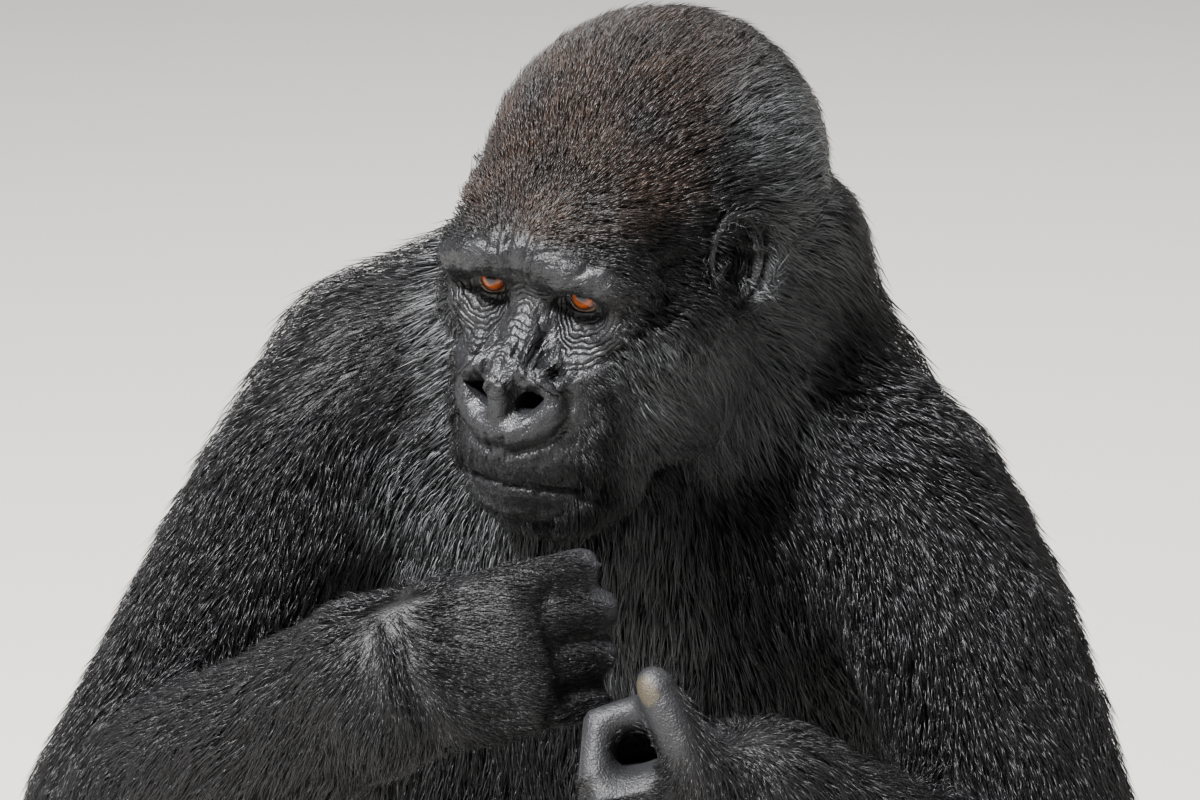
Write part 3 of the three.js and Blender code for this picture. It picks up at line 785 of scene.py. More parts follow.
hands, feet = {}, {}
for side in SIDES:
    start, back = wrist[side], unit(elbow[side] - wrist[side])
    nodes = [f"hand_{side}", f"forearm_{side}", *(f"{finger}_{side}" for finger in FINGERS)]
    limits = [(f"forearm_{side}", start, back, HAND_SLEEVE)]
    hand = melted(nodes, HAND_CUBE, ROUNDS[side], PUFF[side], limits)
    hands[side] = end_of_limb(hand, start, back, 0.8 * PUFF[side], 50, HAND_SLEEVE)
    start, back = ankle[side], unit(knee[side] - ankle[side])
    nodes = [f"foot_{side}", f"big_toe_{side}", f"shank_{side}"]
    limits = [(f"shank_{side}", start, back, FOOT_SLEEVE)]
    foot = melted(nodes, FOOT_CUBE, 4, 1.0, limits)
    feet[side] = end_of_limb(foot, start, back, 2, 45, FOOT_SLEEVE)
    print(f"{side} hand: {len(hands[side][1])} triangles, foot: {len(feet[side][1])}")


# %% The union of them all
def united(parts, hollows):
    """The outer surface of closed surfaces that pass through each other, with hollows cut out."""
    things = [make_object(f"part_{k}", *part) for k, part in enumerate([*parts, *hollows])]
    for k, other in enumerate(things[1:], 1):
        step = things[0].modifiers.new("step", "BOOLEAN")
        step.operation = "UNION" if k < len(parts) else "DIFFERENCE"
        step.solver = "MANIFOLD"
        step.object = other
    result = finished(things[0])
    for other in things[1:]:
        bpy.data.objects.remove(other)
    return result


parts = [("body", body)]
for points, triangles in [(head_points, head_triangles), *lids.values(), *ears.values()]:
    parts.append(("head", (from_head(points), triangles)))
for side in SIDES:
    parts += [(f"hand_{side}", hands[side]), (f"foot_{side}", feet[side])]
hollows = [(from_head(points), triangles) for points, triangles in nostrils + ear_hollows]
skin_points, skin_triangles = united([surface for _, surface in parts], hollows)


# %% Which part each point came from
def part_numbers(points, triangles):
    """The number of the part that has a point at the same place. A point made where two parts
    cross has none, and takes a neighbour's."""
    before = np.concatenate([surface[0] for _, surface in parts])
    owner = np.repeat(np.arange(len(parts)), [len(surface[0]) for _, surface in parts])
    both = np.round(np.concatenate([before, points]) * 20).astype(np.int64)
    which = np.unique(both, axis=0, return_inverse=True)[1].reshape(-1)
    number = np.full(which.max() + 1, -1)
    number[which[: len(before)]] = owner
    number = number[which[len(before) :]]
    for _ in range(6):
        for a, b in ((0, 1), (1, 2), (2, 0), (1, 0), (2, 1), (0, 2)):
            lost = number[triangles[:, a]] < 0
            number[triangles[lost, a]] = number[triangles[lost, b]]
    return np.maximum(number, 0)


skin_part = part_numbers(skin_points, skin_triangles)
allowed_bones = np.array([bones_of(name) for name, _ in parts])
skin_points[:, 2] = np.maximum(skin_points[:, 2], 1.0)  # the seat and soles rest flat
skin_normals = point_normals(skin_points, skin_triangles)
skin_shares = bone_shares(skin_points, allowed_bones[skin_part])
print(f"skin: {len(skin_triangles)} triangles")

# %% [markdown]
# ## Bare skin and coat
#
# The face, ears, palms, soles and fingers are bare. The head's coat is short and turns from
# reddish brown on the crown to black at the sides. Paler grey is mixed into the hairs in three
# places: grey whiskers along the jaw, with a painted sheen on top, a painted sheen behind the
# ears, and a painted patch of sunlight on the breast. A painted map could say so, but skin and
# coat would need one each. Here both read the same formulas, so that no edge shows where the
# hairs thin out.

# %% Where the skin is bare
palm_side = {}
for side in SIDES:
    thumb_ward = unit(middle(f"index_finger_{side}") - middle(f"little_finger_{side}"))
    to_knuckles = unit(knuckles[side] - wrist[side])
    palm_side[side] = unit(np.cross(thumb_ward, to_knuckles)) * -OUTWARD[side]


def face_bareness(q):
    """1 on the bare face, 0 on the coat: the face's half width is read off for each height."""
    heights = [-125, -105, -85, -60, -40, -20, 0, 20, 40, 52]
    half = np.interp(q[:, 2], heights, [10, 26, 40, 38, 43, 48, 56, 60, 62, 60])
    half = half + 4 * ripple(q, 17, 52)
    height = q[:, 2] + 0.0045 * q[:, 1] ** 2
    return below(np.abs(q[:, 1]) - half, -5, 12) * window(height, -106, 53, 6) * above(q[:, 0], 48, 12)


def ear_bareness(q):
    """1 on the ear's cup."""
    out = (np.abs(q[:, 1]) - EAR_AT[1]) / 14
    flat = np.hypot((q[:, 0] - EAR_AT[0]) / EAR_HALF[0], (q[:, 2] - EAR_AT[2]) / EAR_HALF[1])
    return 0.65 * below(np.hypot(out, flat), 0.95, 0.2)


def gap_to(p, points):
    """How far each of p is from the nearest of some points."""
    squares = (p**2).sum(1)[:, None] + (points**2).sum(1)[None] - 2 * p @ points.T
    return np.sqrt(np.maximum(squares.min(1), 0))


def bareness(p, normals, shares):
    """1 where the skin is bare, 0 under the full coat."""
    q = to_head(p)
    bare = np.maximum(face_bareness(q), ear_bareness(q))
    for side in SIDES:
        mine = shares[:, BONE_NAMES.index(f"hand_{side}")] > 0.2
        hand = above(shares[mine, BONE_NAMES.index(f"hand_{side}")], 0.5, 0.3)
        digits = np.concatenate([solids[f"{finger}_{side}"][0] for finger in FINGERS])
        nearer = gap_to(p[mine], solids[f"hand_{side}"][0]) - gap_to(p[mine], digits)
        turned = above(normals[mine] @ palm_side[side], -0.1, 0.3)
        bare[mine] = np.maximum(bare[mine], hand * np.maximum(turned, above(nearer, 25, 15)))
        off = np.linalg.norm(p - ankle[side], axis=1)
        foot = shares[:, BONE_NAMES.index(f"foot_{side}")]
        under = above(-normals[:, 2], 0.2, 0.4)
        bare = np.maximum(bare, above(foot, 0.5, 0.3) * np.maximum(under, above(off, 160, 30)))
    return bare


# %% Where the coat is brown, and where grey hair and painted light make it pale
def brownness(p):
    """1 on the reddish crown and forehead, 0 elsewhere, in patches."""
    q = to_head(p)
    patches = 0.72 + 0.3 * ripple(q, 42, 51)
    crown = above(q[:, 2], 62, 14) * below(np.abs(q[:, 1]), 50, 26) * above(q[:, 0], -70, 50)
    return np.clip(patches, 0.2, 1) * crown


def grey_hair_and_painted_light(p):
    """How pale the hairs are made, 0 elsewhere: grey whiskers along the jaw with a painted sheen,
    a painted sheen behind the ears, and a painted patch of sunlight on the breast.
    """
    q = to_head(p)
    side = window(np.abs(q[:, 1]), 55, 120, 22) * below(np.linalg.norm(q, axis=1), 130, 12)
    # the jaw's hairs are grey whiskers, made paler still as a painted sheen
    jaw = window(q[:, 2], -85, -12, 20) * window(q[:, 0], -30, 85, 20)
    # painted sheen: the back of the head behind the ears is made pale where light catches the hair
    behind = window(q[:, 2], 15, 85, 45) * window(q[:, 0], -50, -25, 45)
    # painted sunlight: pale patches on the throat and the collar, on the front only, where sun falls under
    # the chin
    throat = np.linalg.norm((p - HEAD_AT - [9, -20, -180]) / [1, 3, 1.6], axis=1)
    collar = np.linalg.norm((p - HEAD_AT - [-100, -20, -150]) / [1.5, 3, 1], axis=1)
    breast = np.maximum(below(throat, 25, 30), below(collar, 25, 35))
    breast = breast * above(-p[:, 1], -chest[1], 30)
    return np.maximum(side * np.maximum(0.8 * jaw, 0.85 * behind), 0.5 * breast)


# %% Nails
# Each is its node, the place its digit grows from, the way it faces and its half sizes.
NAILS = [("thumb_left", wrist["left"], (-0.45, -1, 0.35), 8.5, 7.5)]
NAILS += [(f"big_toe_{side}", ankle[side], (0, -0.3, 1), 9.5, 9.0) for side in SIDES]


def nails(p, normals):
    """1 on the nails that show, 0 elsewhere: an oval near the tip on the side that faces out."""
    amount = np.zeros(len(p))
    for node, root, facing, half_length, half_width in NAILS:
        digit = solids[node][0]
        tip = digit[np.linalg.norm(digit - root, axis=1).argmax()]
        run = unit(tip - digit.mean(0))
        facing = unit(facing - run * (run @ np.array(facing)))
        off = p - (tip - run * half_length * 1.15)
        oval = np.hypot(off @ run / half_length, off @ np.cross(run, facing) / half_width)
        near = below(np.linalg.norm(off, axis=1), 24, 3) * above(normals @ facing, 0.25, 0.2)
        amount = np.maximum(amount, below(oval, 0.85, 0.15) * near)
    return amount


# %% The skin and what it knows about itself
skin = make_object("skin", skin_points, skin_triangles)
fold_count, fold_depth = fine_folds(to_head(skin_points))
set_attribute(skin, "bare", bareness(skin_points, skin_normals, skin_shares))
set_attribute(skin, "brown", brownness(skin_points))
set_attribute(skin, "face", face_bareness(to_head(skin_points)))
set_attribute(skin, "nail", nails(skin_points, skin_normals))
set_attribute(skin, "fold_count", fold_count)
set_attribute(skin, "fold_depth", fold_depth)
EYES = {f"eye_{side}" for side in SIDES}
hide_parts(*(node for node in frame["nodes"] if node not in EYES))
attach(skin, "root")

# %% [markdown]
# ## The eyes
#
# An eye is a ball with a shallow dome, the cornea, over the iris. It is a surface turned round
# the line of sight: the radius swells by a millimetre in front. The iris and pupil are colours
# that depend only on how far from the line of sight a point lies, which is stored on the ball.

# %% Eyeballs
IRIS_ANGLE = 38.0  # degrees off the line of sight
LOOK = unit(np.array([-0.43, -0.86, 0.19]))  # up from under the brows


def eyeball(side, rings=40, around=56):
    """A ball of revolution: at angle a from the sight line its radius is R + d (1 - (a / A)^2)^2
    inside the cornea's angle A, and R outside it."""
    a = np.linspace(0.02, math.pi - 0.02, rings)
    dome = 1.2 * np.clip(1 - (np.degrees(a) / (IRIS_ANGLE + 6)) ** 2, 0, None) ** 2
    r = (EYE_RADIUS - 0.2 + dome) * HEAD_SCALE
    phi = np.linspace(0, 2 * math.pi, around, endpoint=False)
    out = unit(np.cross(LOOK, [0, 0, 1]))
    up = np.cross(out, LOOK)
    circle = out * np.cos(phi)[:, None] + up * np.sin(phi)[:, None]
    ahead, aside = (r * np.cos(a))[:, None, None], (r * np.sin(a))[:, None, None]
    return closed_grid(eye_centre[side] + LOOK * ahead + circle[None] * aside)


for side in SIDES:
    points, triangles = eyeball(side)
    ball = make_object(f"eyeball_{side}", points, triangles)
    off = unit(points - eye_centre[side])
    set_attribute(ball, "off_sight", np.degrees(np.arccos(np.clip(off @ LOOK, -1, 1))) / 90)
    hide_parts(f"eye_{side}")
    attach(ball, "root")
print(f"eye: {2 * EYE_RADIUS * HEAD_SCALE:.1f} mm across")

# %% [markdown]
# ## Keeping hairs on the skin
#
# A hair that lies along a curved body has to bend with it. Space round the skin is divided into
# cells that each remember the nearest of many points sampled on the skin. A place along a hair
# is then brought back to the skin by its distance from the plane of that sample.

# %% Samples of the skin
CELL = 8.0  # mm
SAMPLES = 160000
corners_of = skin_points[skin_triangles]
triangle_cross = np.cross(corners_of[:, 1] - corners_of[:, 0], corners_of[:, 2] - corners_of[:, 0])
triangle_area = np.linalg.norm(triangle_cross, axis=1) / 2
triangle_middle = corners_of.mean(1)
triangle_way = unit(triangle_cross)


def sample_skin(weights, count, rng):
    """count places on the skin, evenly spread by weight, with their normals."""
    total = np.cumsum(weights)
    pick = np.searchsorted(total, (np.arange(count) + rng.random(count)) / count * total[-1])
    pick = np.minimum(pick, len(weights) - 1)
    a, b = rng.random((2, count))
    fold = a + b > 1
    a, b = np.where(fold, 1 - a, a)[:, None], np.where(fold, 1 - b, b)[:, None]
    shares = np.stack([1 - a - b, a, b], 1)
    normals = skin_normals[skin_triangles[pick]]
    return (corners_of[pick] * shares).sum(1), unit((normals * shares).sum(1)), pick


sample_at, sample_way, sample_triangle = sample_skin(triangle_area, SAMPLES, np.random.default_rng(1))
sample_shares = skin_shares[skin_triangles[sample_triangle, 0]]
grid_low = sample_at.min(0) - 60
grid_shape = np.ceil((sample_at.max(0) + 60 - grid_low) / CELL).astype(int)


def cell_of(p):
    """The number of the cell that each point lies in, as three indices."""
    return tuple(np.clip(((p - grid_low) / CELL).astype(int), 0, grid_shape - 1).T)


# %% The nearest sample to each cell
cell_middle = grid_low + (np.stack(np.indices(grid_shape), -1) + 0.5) * CELL
nearest = np.full(grid_shape, -1)
nearest[cell_of(sample_at)] = np.arange(len(sample_at))
gap = np.where(nearest >= 0, 0.0, 1e9)
filled = nearest >= 0
gap[filled] = np.linalg.norm(cell_middle[filled] - sample_at[nearest[filled]], axis=-1)
for _ in range(6):
    for axis in range(3):
        for step in (1, -1):
            offered = np.roll(nearest, step, axis)
            far = np.where(offered >= 0, np.linalg.norm(cell_middle - sample_at[offered], axis=-1), 1e9)
            closer = far < gap
            nearest[closer] = offered[closer]
            gap[closer] = far[closer]


def onto_skin(p):
    """Points brought to the plane of the nearest sample of skin, and that sample's normals."""
    index = nearest[cell_of(p)]
    way = sample_way[index]
    return p - way * ((p - sample_at[index]) * way).sum(1, keepdims=True), way


def shares_at(p):
    """The shares in the bones of the nearest sample to each point."""
    return sample_shares[nearest[cell_of(p)]]


print(f"{np.prod(grid_shape)} cells of {CELL:.0f} mm, {filled.sum()} of them on the skin")

# %% [markdown]
# ## The lie of the coat
#
# Hairs run from the shoulder to the elbow and, on a gorilla, from the wrist back to the elbow.
# On the head they fan out from between the brows, over the crown and down the cheeks. Each bone
# gives its own way, its shares blend them, and slow noise makes the coat wander as real fur does.

# %% Which way the hairs run
BROW_CENTRE = np.array([100.0, 0.0, 42.0])


def head_lie(p):
    """On the head: away from between the brows, and a little back and down."""
    q = to_head(p)
    way = unit(q - BROW_CENTRE) + [-0.45, 0, -0.15]
    way[:, 2] -= 0.8 * above(np.abs(q[:, 1]), 45, 25) * below(q[:, 2], 20, 40)
    way[:, 2] -= 1.1 * above(-q[:, 0], 110, 70)
    return way @ HEAD_AXES


def lie(p):
    """The way the hairs run at each point: the mean of the bones' ways by share, with noise."""
    shares = shares_at(p)
    way = np.zeros_like(p)
    for k, b in enumerate(BONES):
        run = unit(b["end"] - b["start"])
        way += shares[:, k : k + 1] * (b["along"] * run - [0, 0, b["fall"]])
    head = shares[:, :1]
    away = unit(p - (chest + belly) / 2) * [1, 1, 0]
    way += 0.35 * shares[:, 2:3] * away
    way = unit(way * (1 - head) + head_lie(p) * head)
    wander = np.stack([ripple(p, 70, seed) for seed in (11, 12, 13)], 1)
    return unit(way + 0.16 * wander)


# %% How long the hairs are
def coat_length(p, shares):
    """Hair length: the bones' by share, and on the head longer from the brows back."""
    q = to_head(p)
    far = np.linalg.norm(q - BROW_CENTRE, axis=1)
    on_head = np.interp(far, [0, 20, 60, 120, 200], [3, 8, 14, 20, 32])
    beard = below(q[:, 2], -20, 40) * below(q[:, 0], 60, 30)
    on_head = on_head * (1 + (0.4 + 0.7 * above(np.abs(q[:, 1]), 52, 20)) * beard)
    bare = face_bareness(q)
    on_head = on_head * (1 - bare) + 1.9 * bare
    head = shares[:, 0]
    others = shares[:, 1:] @ np.array([b["length"] for b in BONES[1:]], float)
    return others + head * on_head


# %% [markdown]
# ## Hairs as blades
#
# Exported models drop hair curves, so each wisp of hairs is a closed blade: a pointed root, a
# three-sided middle and a pointed tip, six triangles in all. A real hair is a tenth of a
# millimetre thick, and the blades are drawn several times as wide, so that they cover the skin.
# The middle and the tip keep their own heights over the skin, so the blade rises and then lies
# along the body. Neighbours lean towards a shared point, which gathers them into tufts.

# %% Where a blade leans, and its place on the colour map
BLADE = np.array([[1, 2, 0], [2, 3, 0], [3, 1, 0], [2, 1, 4], [3, 2, 4], [1, 3, 4]])
PATCH = 0.003  # each blade's own patch of the colour map
TUFT = 11.0  # mm between the points that hairs lean towards
LONGEST = 34.0  # mm: hairs this long or longer lean all the way
all_pieces = []


def lean(roots, size, rng):
    """The way from each root to the middle of the roots that share its cell of a shaken grid."""
    shaken = roots + 2.5 * np.stack([ripple(roots, 30, seed) for seed in (21, 22, 23)], 1)
    cells = np.floor(shaken / size).astype(np.int64) + 500
    key = cells @ np.array([1, 2000, 4000000])  # one whole number for each cell
    kinds, which = np.unique(key, return_inverse=True)
    which = which.reshape(-1)
    middle_of = gather(which, roots, len(kinds)) / np.bincount(which)[:, None]
    return middle_of[which] - roots, rng.random(len(kinds))[which]


def unwrapped(p, shares):
    """A place in the unit square for each root: round and along its own bone, each bone having
    a strip of the square, or turn and lift round the head's centre."""
    main = shares.argmax(1)
    spot = np.zeros((len(p), 2))
    for k, b in enumerate(BONES):
        mine = main == k
        run = unit(b["end"] - b["start"])
        first = unit(np.cross(run, [0.3, 0.9, 0.31]))
        second = np.cross(run, first)
        out = p[mine] - b["start"]
        spot[mine, 0] = np.arctan2(out @ second, out @ first) / (2 * math.pi) + 0.5
        spot[mine, 1] = (k + 0.05 + 0.9 * along_bone(p[mine], b["start"], b["end"])) / len(BONES)
    q = to_head(p[main == 0]) - [0, 0, 20]
    turn = np.arctan2(q[:, 2], q[:, 0]) / (2 * math.pi) + 0.5
    lift = np.arcsin(np.clip(unit(q)[:, 1], -1, 1)) / math.pi + 0.5
    spot[main == 0] = np.stack([turn, lift], 1)
    return 0.002 + 0.994 * spot


def mark(piece, triangles, roots, shares, luck, rng):
    """Stores what each blade's material needs: its tint, how near the tip each point is, how
    brown it is, how grey and painted lit it is, and its own patch of the colour map."""
    count = len(roots)
    set_attribute(piece, "tint", np.repeat(rng.random(count) * 0.6 + luck * 0.4, 5))
    set_attribute(piece, "tip", np.tile([0, 0.6, 0.6, 0.6, 1], count))
    set_attribute(piece, "brown", np.repeat(brownness(roots) * rng.uniform(0.6, 1, count), 5))
    set_attribute(piece, "grey_and_painted_light", np.repeat(grey_hair_and_painted_light(roots) * rng.uniform(0.2, 1, count), 5))
    layer = piece.data.uv_layers.new(name="OFBake")
    inside = np.array([[0.5, 0], [0, 0.5], [1, 0.5], [0.5, 0.6], [0.5, 1]]) * PATCH
    spots = unwrapped(roots, shares)[:, None] + inside[None]
    layer.data.foreach_set("uv", spots.reshape(-1, 2)[triangles.ravel()].astype(np.float32).ravel())


# %% A patch of coat
def grow(name, count, thickness, seed, finer=1.0):
    """Grows count blades where thickness, the hairs' share per area, is above 0. Each half of a
    blade goes half its length along the lie of the coat, back onto the skin, then up from it."""
    rng = np.random.default_rng(seed)
    roots, out, pick = sample_skin(triangle_area * np.maximum(thickness, 0), count, rng)
    shares = skin_shares[skin_triangles[pick, 0]]
    length = coat_length(roots, shares) * rng.uniform(0.75, 1.2, count)
    depth = np.minimum(of_bones(shares, "depth"), length * 0.5)
    width = of_bones(shares, "width") * finer * rng.uniform(0.7, 1.3, count)
    toward, luck = lean(roots, TUFT, rng)
    toward = toward * np.clip(length / LONGEST, 0, 1)[:, None]

    def along(p, way, normal, step):
        """Points moved a step along the skin, the normals there, and the way they went."""
        way = way + 0.11 * rng.normal(size=p.shape)
        way = unit(way - normal * (way * normal).sum(1, keepdims=True))
        return *onto_skin(p + way * step[:, None]), way

    first = lie(roots)
    mid, mid_out, way = along(roots, first, out, 0.5 * length)
    tip, tip_out, way2 = along(mid, 0.45 * way + 0.55 * lie(mid), mid_out, 0.5 * length)
    height = depth * (0.25 + 0.75 * rng.random(count) ** 0.7) * (0.85 + 0.3 * luck)
    mid = mid + 0.22 * toward + mid_out * (0.72 * height)[:, None]
    tip = tip + 0.5 * toward + tip_out * (height * rng.uniform(0.8, 1.15, count))[:, None]
    roots = roots - out * 0.5
    roll = rng.uniform(-0.7, 0.7, count)[:, None]
    side = unit(np.cross(way2, mid_out)) * np.cos(roll) + mid_out * np.sin(roll)
    top = unit(np.cross(side, way2))
    half = (width / 2)[:, None]
    points = np.stack([roots, mid - side * half, mid + side * half, mid + top * half, tip], 1)
    points[..., 2] = np.maximum(points[..., 2], 0.6)
    triangles = (BLADE[None] + 5 * np.arange(count)[:, None, None]).reshape(-1, 3)
    piece = make_object(name, points.reshape(-1, 3), triangles)
    mark(piece, triangles, roots, shares, luck, rng)
    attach(piece, "root")
    all_pieces.append(piece)
    volume = enclosed(points.reshape(-1, 3), triangles)
    amount = f"{len(triangles)} triangles, {volume:.0f} mm3"
    print(f"{name}: {count} blades of {np.median(length):.0f} mm, {amount}")


# %% [markdown]
# ## The coat, region by region
#
# A region is a share for each triangle of the skin: how much of it belongs to those bones, less
# where the skin is bare. Each is one mesh, small enough to export without thinning.

# %% The regions
shares_here = skin_shares[skin_triangles[:, 0]]
covered = 1 - bareness(triangle_middle, triangle_way, shares_here)
covered = covered * above(triangle_middle[:, 2], 4, 2)
head_here = to_head(triangle_middle)
main_bone = shares_here.argmax(1)


def region(*names):
    """1 on the triangles whose main bone is one of these, less where the skin is bare."""
    mine = [k for k, name in enumerate(BONE_NAMES) if name in names]
    return np.isin(main_bone, mine) * covered


on_crown = above(head_here[:, 2], 30, 6)
on_back = triangle_middle[:, 1] > chest[1] - 10
grow("crown_coat", 33000, region("head") * on_crown, 31, 0.85)
grow("cheek_and_nape_coat", 30000, region("head") * (1 - on_crown), 32)
on_face = (main_bone == 0) * face_bareness(head_here) * above(head_here[:, 0], 30, 5)
stubble = on_face * (0.25 + below(head_here[:, 2], -66, 10) + above(head_here[:, 2], 48, 6))
stubble = stubble * (1 - below(np.linalg.norm(head_here - [118, 0, -34], axis=1), 34, 5))  # not on the nose
grow("face_down", 12000, stubble, 33, 0.35)
torso = region("trunk", "neck", "shoulder_left", "shoulder_right")
grow("back_coat", 32000, torso * on_back, 34)
grow("chest_coat", 24000, torso * ~on_back, 35)
for seed, side in enumerate(SIDES):
    grow(f"arm_coat_{side}", 33000, region(f"upper_arm_{side}", f"forearm_{side}"), 36 + seed)
    grow(f"leg_coat_{side}", 15500, region(f"thigh_{side}", f"shank_{side}"), 38 + seed)
extremities = region("hand_left", "hand_right", "foot_left", "foot_right")
grow("hand_and_foot_coat", 20000, extremities, 40, 0.8)

# %% [markdown]
# ## Finishes
#
# A colour is written as it would be in a paint program, in sRGB, and made linear for the
# renderer. One helper adds a node: what it is given is set on the sockets, or linked when it is
# another node's output, and it gives back the output that the next node needs.

# %% Colours and nodes
def linear(code):
    """A hex colour as linear red, green, blue and alpha: each channel through sRGB's curve."""
    channels = [int(code[k : k + 2], 16) / 255 for k in (1, 3, 5)]
    return (*(c / 12.92 if c <= 0.04045 else ((c + 0.055) / 1.055) ** 2.4 for c in channels), 1.0)


def add_node(material, kind, sockets=None, give=0, **settings):
    """Adds a node with its settings, sets or links each of its sockets, and gives one output."""
    node = material.node_tree.nodes.new(kind)
    for name, value in settings.items():
        setattr(node, name, value)
    for name, value in (sockets or {}).items():
        if isinstance(value, bpy.types.NodeSocket):
            material.node_tree.links.new(value, node.inputs[name])
        else:
            node.inputs[name].default_value = value
    return node.outputs[give] if node.outputs else None


def new_material(name):
    """A material with no nodes yet."""
    material = bpy.data.materials.new(name)
    material.use_nodes = True
    material.node_tree.nodes.clear()
    return material


STORED, SHADER = "ShaderNodeAttribute", "ShaderNodeBsdfPrincipled"
MATH, MIX = "ShaderNodeMath", "ShaderNodeMix"
MIXED = 2  # a mix node's output for colours; its inputs are 0, 6 and 7

# %% [markdown]
# ### Bare skin
#
# Thick, dark and leathery, and slightly greasy, so that it shines on every fold that faces the
# light. Under the coat it is dull. The skin's pattern could be an image, but noise at the real
# sizes needs no unwrapping: blotches of 14 mm in the colour, painted shade that darkens the
# valleys of the fine folds, and lumps, cells and pores in the bump. Real pores are a third of a
# millimetre wide, and are drawn as coarse as they need to show.

# %% Patterns of the skin
hide = new_material("gorilla_skin")
place = add_node(hide, "ShaderNodeTexCoord", give="Object")
bare, brown, face, nail, fold_count, fold_depth = (
    add_node(hide, STORED, give="Fac", attribute_name=name)
    for name in ("bare", "brown", "face", "nail", "fold_count", "fold_depth"))
blotches, bends, lumps, pores = (
    add_node(hide, "ShaderNodeTexNoise", {"Vector": place, "Scale": 1 / (size * MM), "Detail": detail})
    for size, detail in ((14, 4.0), (9, 1.0), (3.6, 1.0), (1.3, 3.0)))
edge = add_node(hide, "ShaderNodeTexVoronoi", {"Vector": place, "Scale": 1 / (2.6 * MM)},
                give="Distance", feature="DISTANCE_TO_EDGE")
cell = add_node(hide, MATH, {0: edge, 1: 6.0}, operation="MULTIPLY", use_clamp=True)

# %% The fine folds: |sin(pi n)| to the power of 0.6, where n counts the folds
count = add_node(hide, MATH, {0: bends, 1: 1.7, 2: fold_count}, operation="MULTIPLY_ADD")
turn = add_node(hide, MATH, {0: count, 1: math.pi}, operation="MULTIPLY")
wave = add_node(hide, MATH, {0: turn}, operation="SINE")
ridge = add_node(hide, MATH, {0: wave}, operation="ABSOLUTE")
ridge = add_node(hide, MATH, {0: ridge, 1: 0.6}, operation="POWER")
valley = add_node(hide, MATH, {0: 1.0, 1: ridge}, operation="SUBTRACT")
valley = add_node(hide, MATH, {0: valley, 1: fold_depth}, operation="MULTIPLY")
height = 0.0
for pattern, amount in ((valley, -1.0), (cell, 0.1), (lumps, 0.35), (pores, 0.6)):
    height = add_node(hide, MATH, {0: pattern, 1: amount, 2: height}, operation="MULTIPLY_ADD")
bump = add_node(hide, "ShaderNodeBump", {"Height": height, "Strength": 1.0, "Distance": MM})

# %% Colour and shine of the skin
roughness = 0.33
for pattern, amount in ((face, -0.15), (pores, 0.4)):  # the face is the greasiest
    roughness = add_node(hide, MATH, {0: pattern, 1: amount, 2: roughness}, operation="MULTIPLY_ADD")
slate = add_node(hide, MIX, {0: blotches, 6: linear("#0b0b0c"), 7: linear("#1f1f22")},
                 MIXED, data_type="RGBA")
# painted shade: the valleys of the fine folds are darkened towards near black, besides being sunk in the
# bump
slate = add_node(hide, MIX, {0: valley, 6: slate, 7: linear("#030303")}, MIXED, data_type="RGBA")
colour = add_node(hide, MIX, {0: brown, 6: linear("#0b0a0b"), 7: linear("#1a120c")},
                  MIXED, data_type="RGBA")
colour = add_node(hide, MIX, {0: bare, 6: colour, 7: slate}, MIXED, data_type="RGBA")
colour = add_node(hide, MIX, {0: nail, 6: colour, 7: linear("#352f24")}, MIXED, data_type="RGBA")
shader = add_node(hide, SHADER, {"Base Color": colour, "Roughness": roughness, "Normal": bump, "IOR": 1.42})
add_node(hide, "ShaderNodeOutputMaterial", {"Surface": shader})
skin.data.materials.append(hide)

# %% [markdown]
# ### Coat
#
# Each hair is smooth and nearly black, and shines like silk along its length: that gives the
# grey sheen on the arms. Tips are a little paler, and no two hairs are quite the same. A hair
# shader is made for hair curves, so the blades have a plain one of about the right shine.

# %% Fur
fur = new_material("gorilla_hair")
tint, tip, brown, grey_and_painted_light = (add_node(fur, STORED, give="Fac", attribute_name=name)
                          for name in ("tint", "tip", "brown", "grey_and_painted_light"))
black = add_node(fur, MIX, {0: tint, 6: linear("#09090a"), 7: linear("#262528")}, MIXED, data_type="RGBA")
reddish = add_node(fur, MIX, {0: tint, 6: linear("#1e1410"), 7: linear("#4f3c30")}, MIXED, data_type="RGBA")
hair = add_node(fur, MIX, {0: brown, 6: black, 7: reddish}, MIXED, data_type="RGBA")
# grey whiskers on the jaw, a painted sheen behind the ears and painted sunlight on the breast, all as one
# pale grey
hair = add_node(fur, MIX, {0: grey_and_painted_light, 6: hair, 7: linear("#86888a")}, MIXED, data_type="RGBA")
hair = add_node(fur, MIX, {0: tip, 6: linear("#0a090a"), 7: hair}, MIXED, data_type="RGBA")
shader = add_node(fur, SHADER, {"Base Color": hair, "Roughness": 0.4, "IOR": 1.43})
add_node(fur, "ShaderNodeOutputMaterial", {"Surface": shader})
for piece in all_pieces:
    piece.data.materials.append(fur)

# %% [markdown]
# ### Eyes
#
# The iris is amber, darkest at its rim, round a black pupil. The white of a gorilla's eye is
# mostly brown. A thin wet film lies over all of it, which is a clear coat on the shader. The
# rings of colour are stops on a ramp, read at each point's angle off the line of sight.

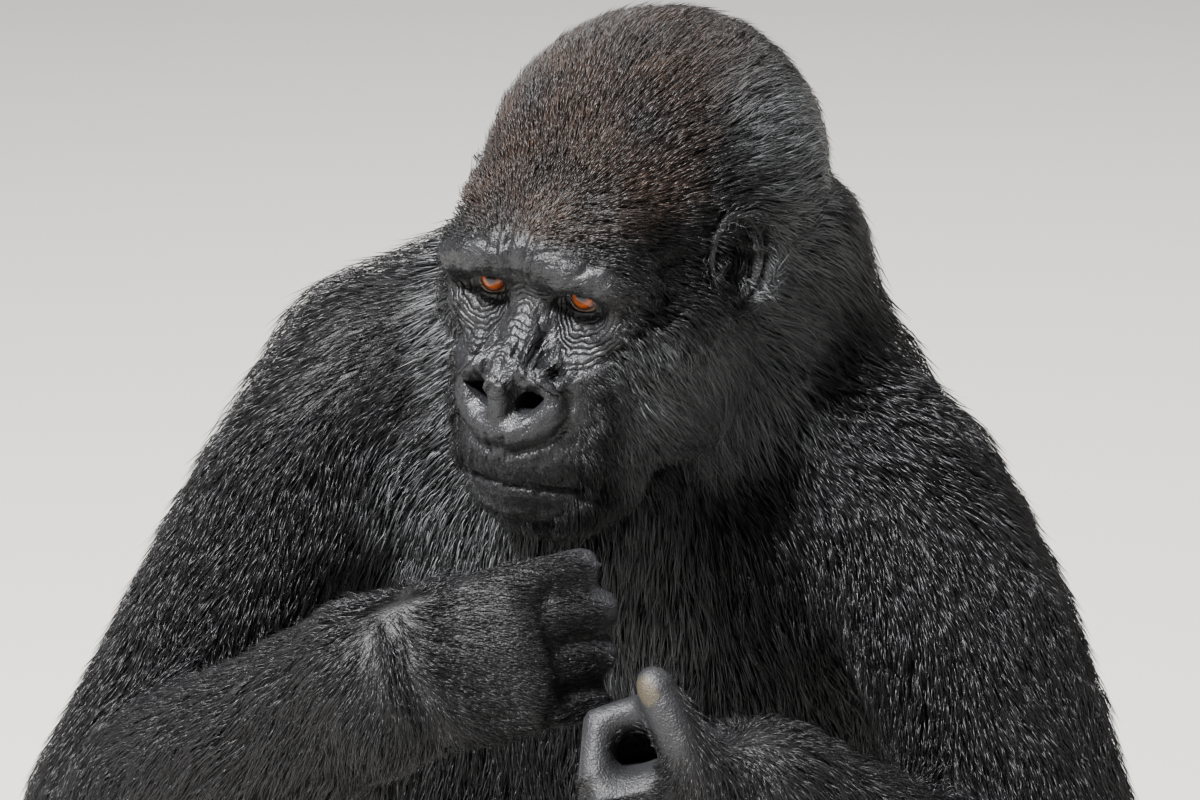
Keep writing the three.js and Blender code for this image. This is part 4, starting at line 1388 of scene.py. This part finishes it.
# %% Iris, pupil and film
wet_eye = new_material("wet_eye")
off_sight = add_node(wet_eye, STORED, give="Fac", attribute_name="off_sight")
rings = add_node(wet_eye, "ShaderNodeValToRGB", {"Fac": off_sight})
stops = [(0.0, "#050403"), (0.13, "#050403"), (0.155, "#421a08"), (0.27, "#a04c1e"), (0.37, "#6a2e12"),
         (0.42, "#1a0c06"), (0.47, "#4a3426"), (0.6, "#8a7868")]
ramp = rings.node.color_ramp
for position, code in stops[2:]:
    ramp.elements.new(position)
for element, (position, code) in zip(ramp.elements, stops):
    element.position = position
    element.color = linear(code)
shader = add_node(wet_eye, SHADER, {"Base Color": rings, "Roughness": 0.1, "IOR": 1.3, "Coat Weight": 0.4,
                                    "Coat Roughness": 0.04, "Coat IOR": 1.35})
add_node(wet_eye, "ShaderNodeOutputMaterial", {"Surface": shader})
for side in SIDES:
    bpy.data.objects[f"eyeball_{side}"].data.materials.append(wet_eye)

# %% [markdown]
# ## Floor, light and camera
#
# A pale floor that fills the view, and three lights of a studio. The key light stands high in
# front on the animal's right, and is small enough to give the hairs a sheen. A weak fill opens
# the shadows, and a light from behind picks out the edge of the coat.

# %% Floor
FLOOR_HALF = 15000.0  # mm
corners = np.array([[-1, -1, 0], [1, -1, 0], [1, 1, 0], [-1, 1, 0]]) * FLOOR_HALF
floor = make_object("floor", corners, np.array([[0, 1, 2, 3]]))
paper = new_material("matt_paper")  # uncoated, so it scatters light evenly and shows no shine
shader = add_node(paper, SHADER, {"Base Color": linear("#c6c4bf"), "Roughness": 0.9})
add_node(paper, "ShaderNodeOutputMaterial", {"Surface": shader})
floor.data.materials.append(paper)

# %% Lights
ANIMAL_MIDDLE = Vector((0, 0, 0.45))


def soft_light(name, stand, size, watts):
    """A square light, size metres wide, that faces the middle of the animal."""
    light = bpy.data.lights.new(name, "AREA")
    light.size = size
    light.energy = watts
    thing = bpy.data.objects.new(name, light)
    thing.location = stand
    thing.rotation_euler = (ANIMAL_MIDDLE - thing.location).to_track_quat("-Z", "Y").to_euler()
    bpy.context.collection.objects.link(thing)


soft_light("key", (-1.5, -1.45, 3.25), 0.5, 840)
soft_light("fill", (2.6, -2.4, 1.6), 2.5, 6)
soft_light("rim", (0.9, 2.4, 2.8), 1.6, 120)
studio = bpy.data.worlds.new("studio")
studio.use_nodes = True
backdrop = studio.node_tree.nodes["Background"]
backdrop.inputs["Color"].default_value = linear("#e4e6ea")
backdrop.inputs["Strength"].default_value = 0.14
bpy.context.scene.world = studio

# %% Camera
CAMERA_TILT = math.radians(16)  # how far it looks down
CAMERA_DISTANCE = 5.0  # metres
VIEW_WIDTH = 0.72  # metres across the frame at the head
aim = Vector(HEAD_AT + [-15, -58, -67.6]) * MM  # between the chin and the breast
camera = bpy.data.objects.new("camera", bpy.data.cameras.new("camera"))
ahead = Vector((0, math.cos(CAMERA_TILT), -math.sin(CAMERA_TILT)))
camera.location = aim - ahead * CAMERA_DISTANCE
camera.rotation_euler = ahead.to_track_quat("-Z", "Y").to_euler()
camera.data.lens = camera.data.sensor_width * CAMERA_DISTANCE / VIEW_WIDTH
bpy.context.collection.objects.link(camera)
bpy.context.scene.camera = camera
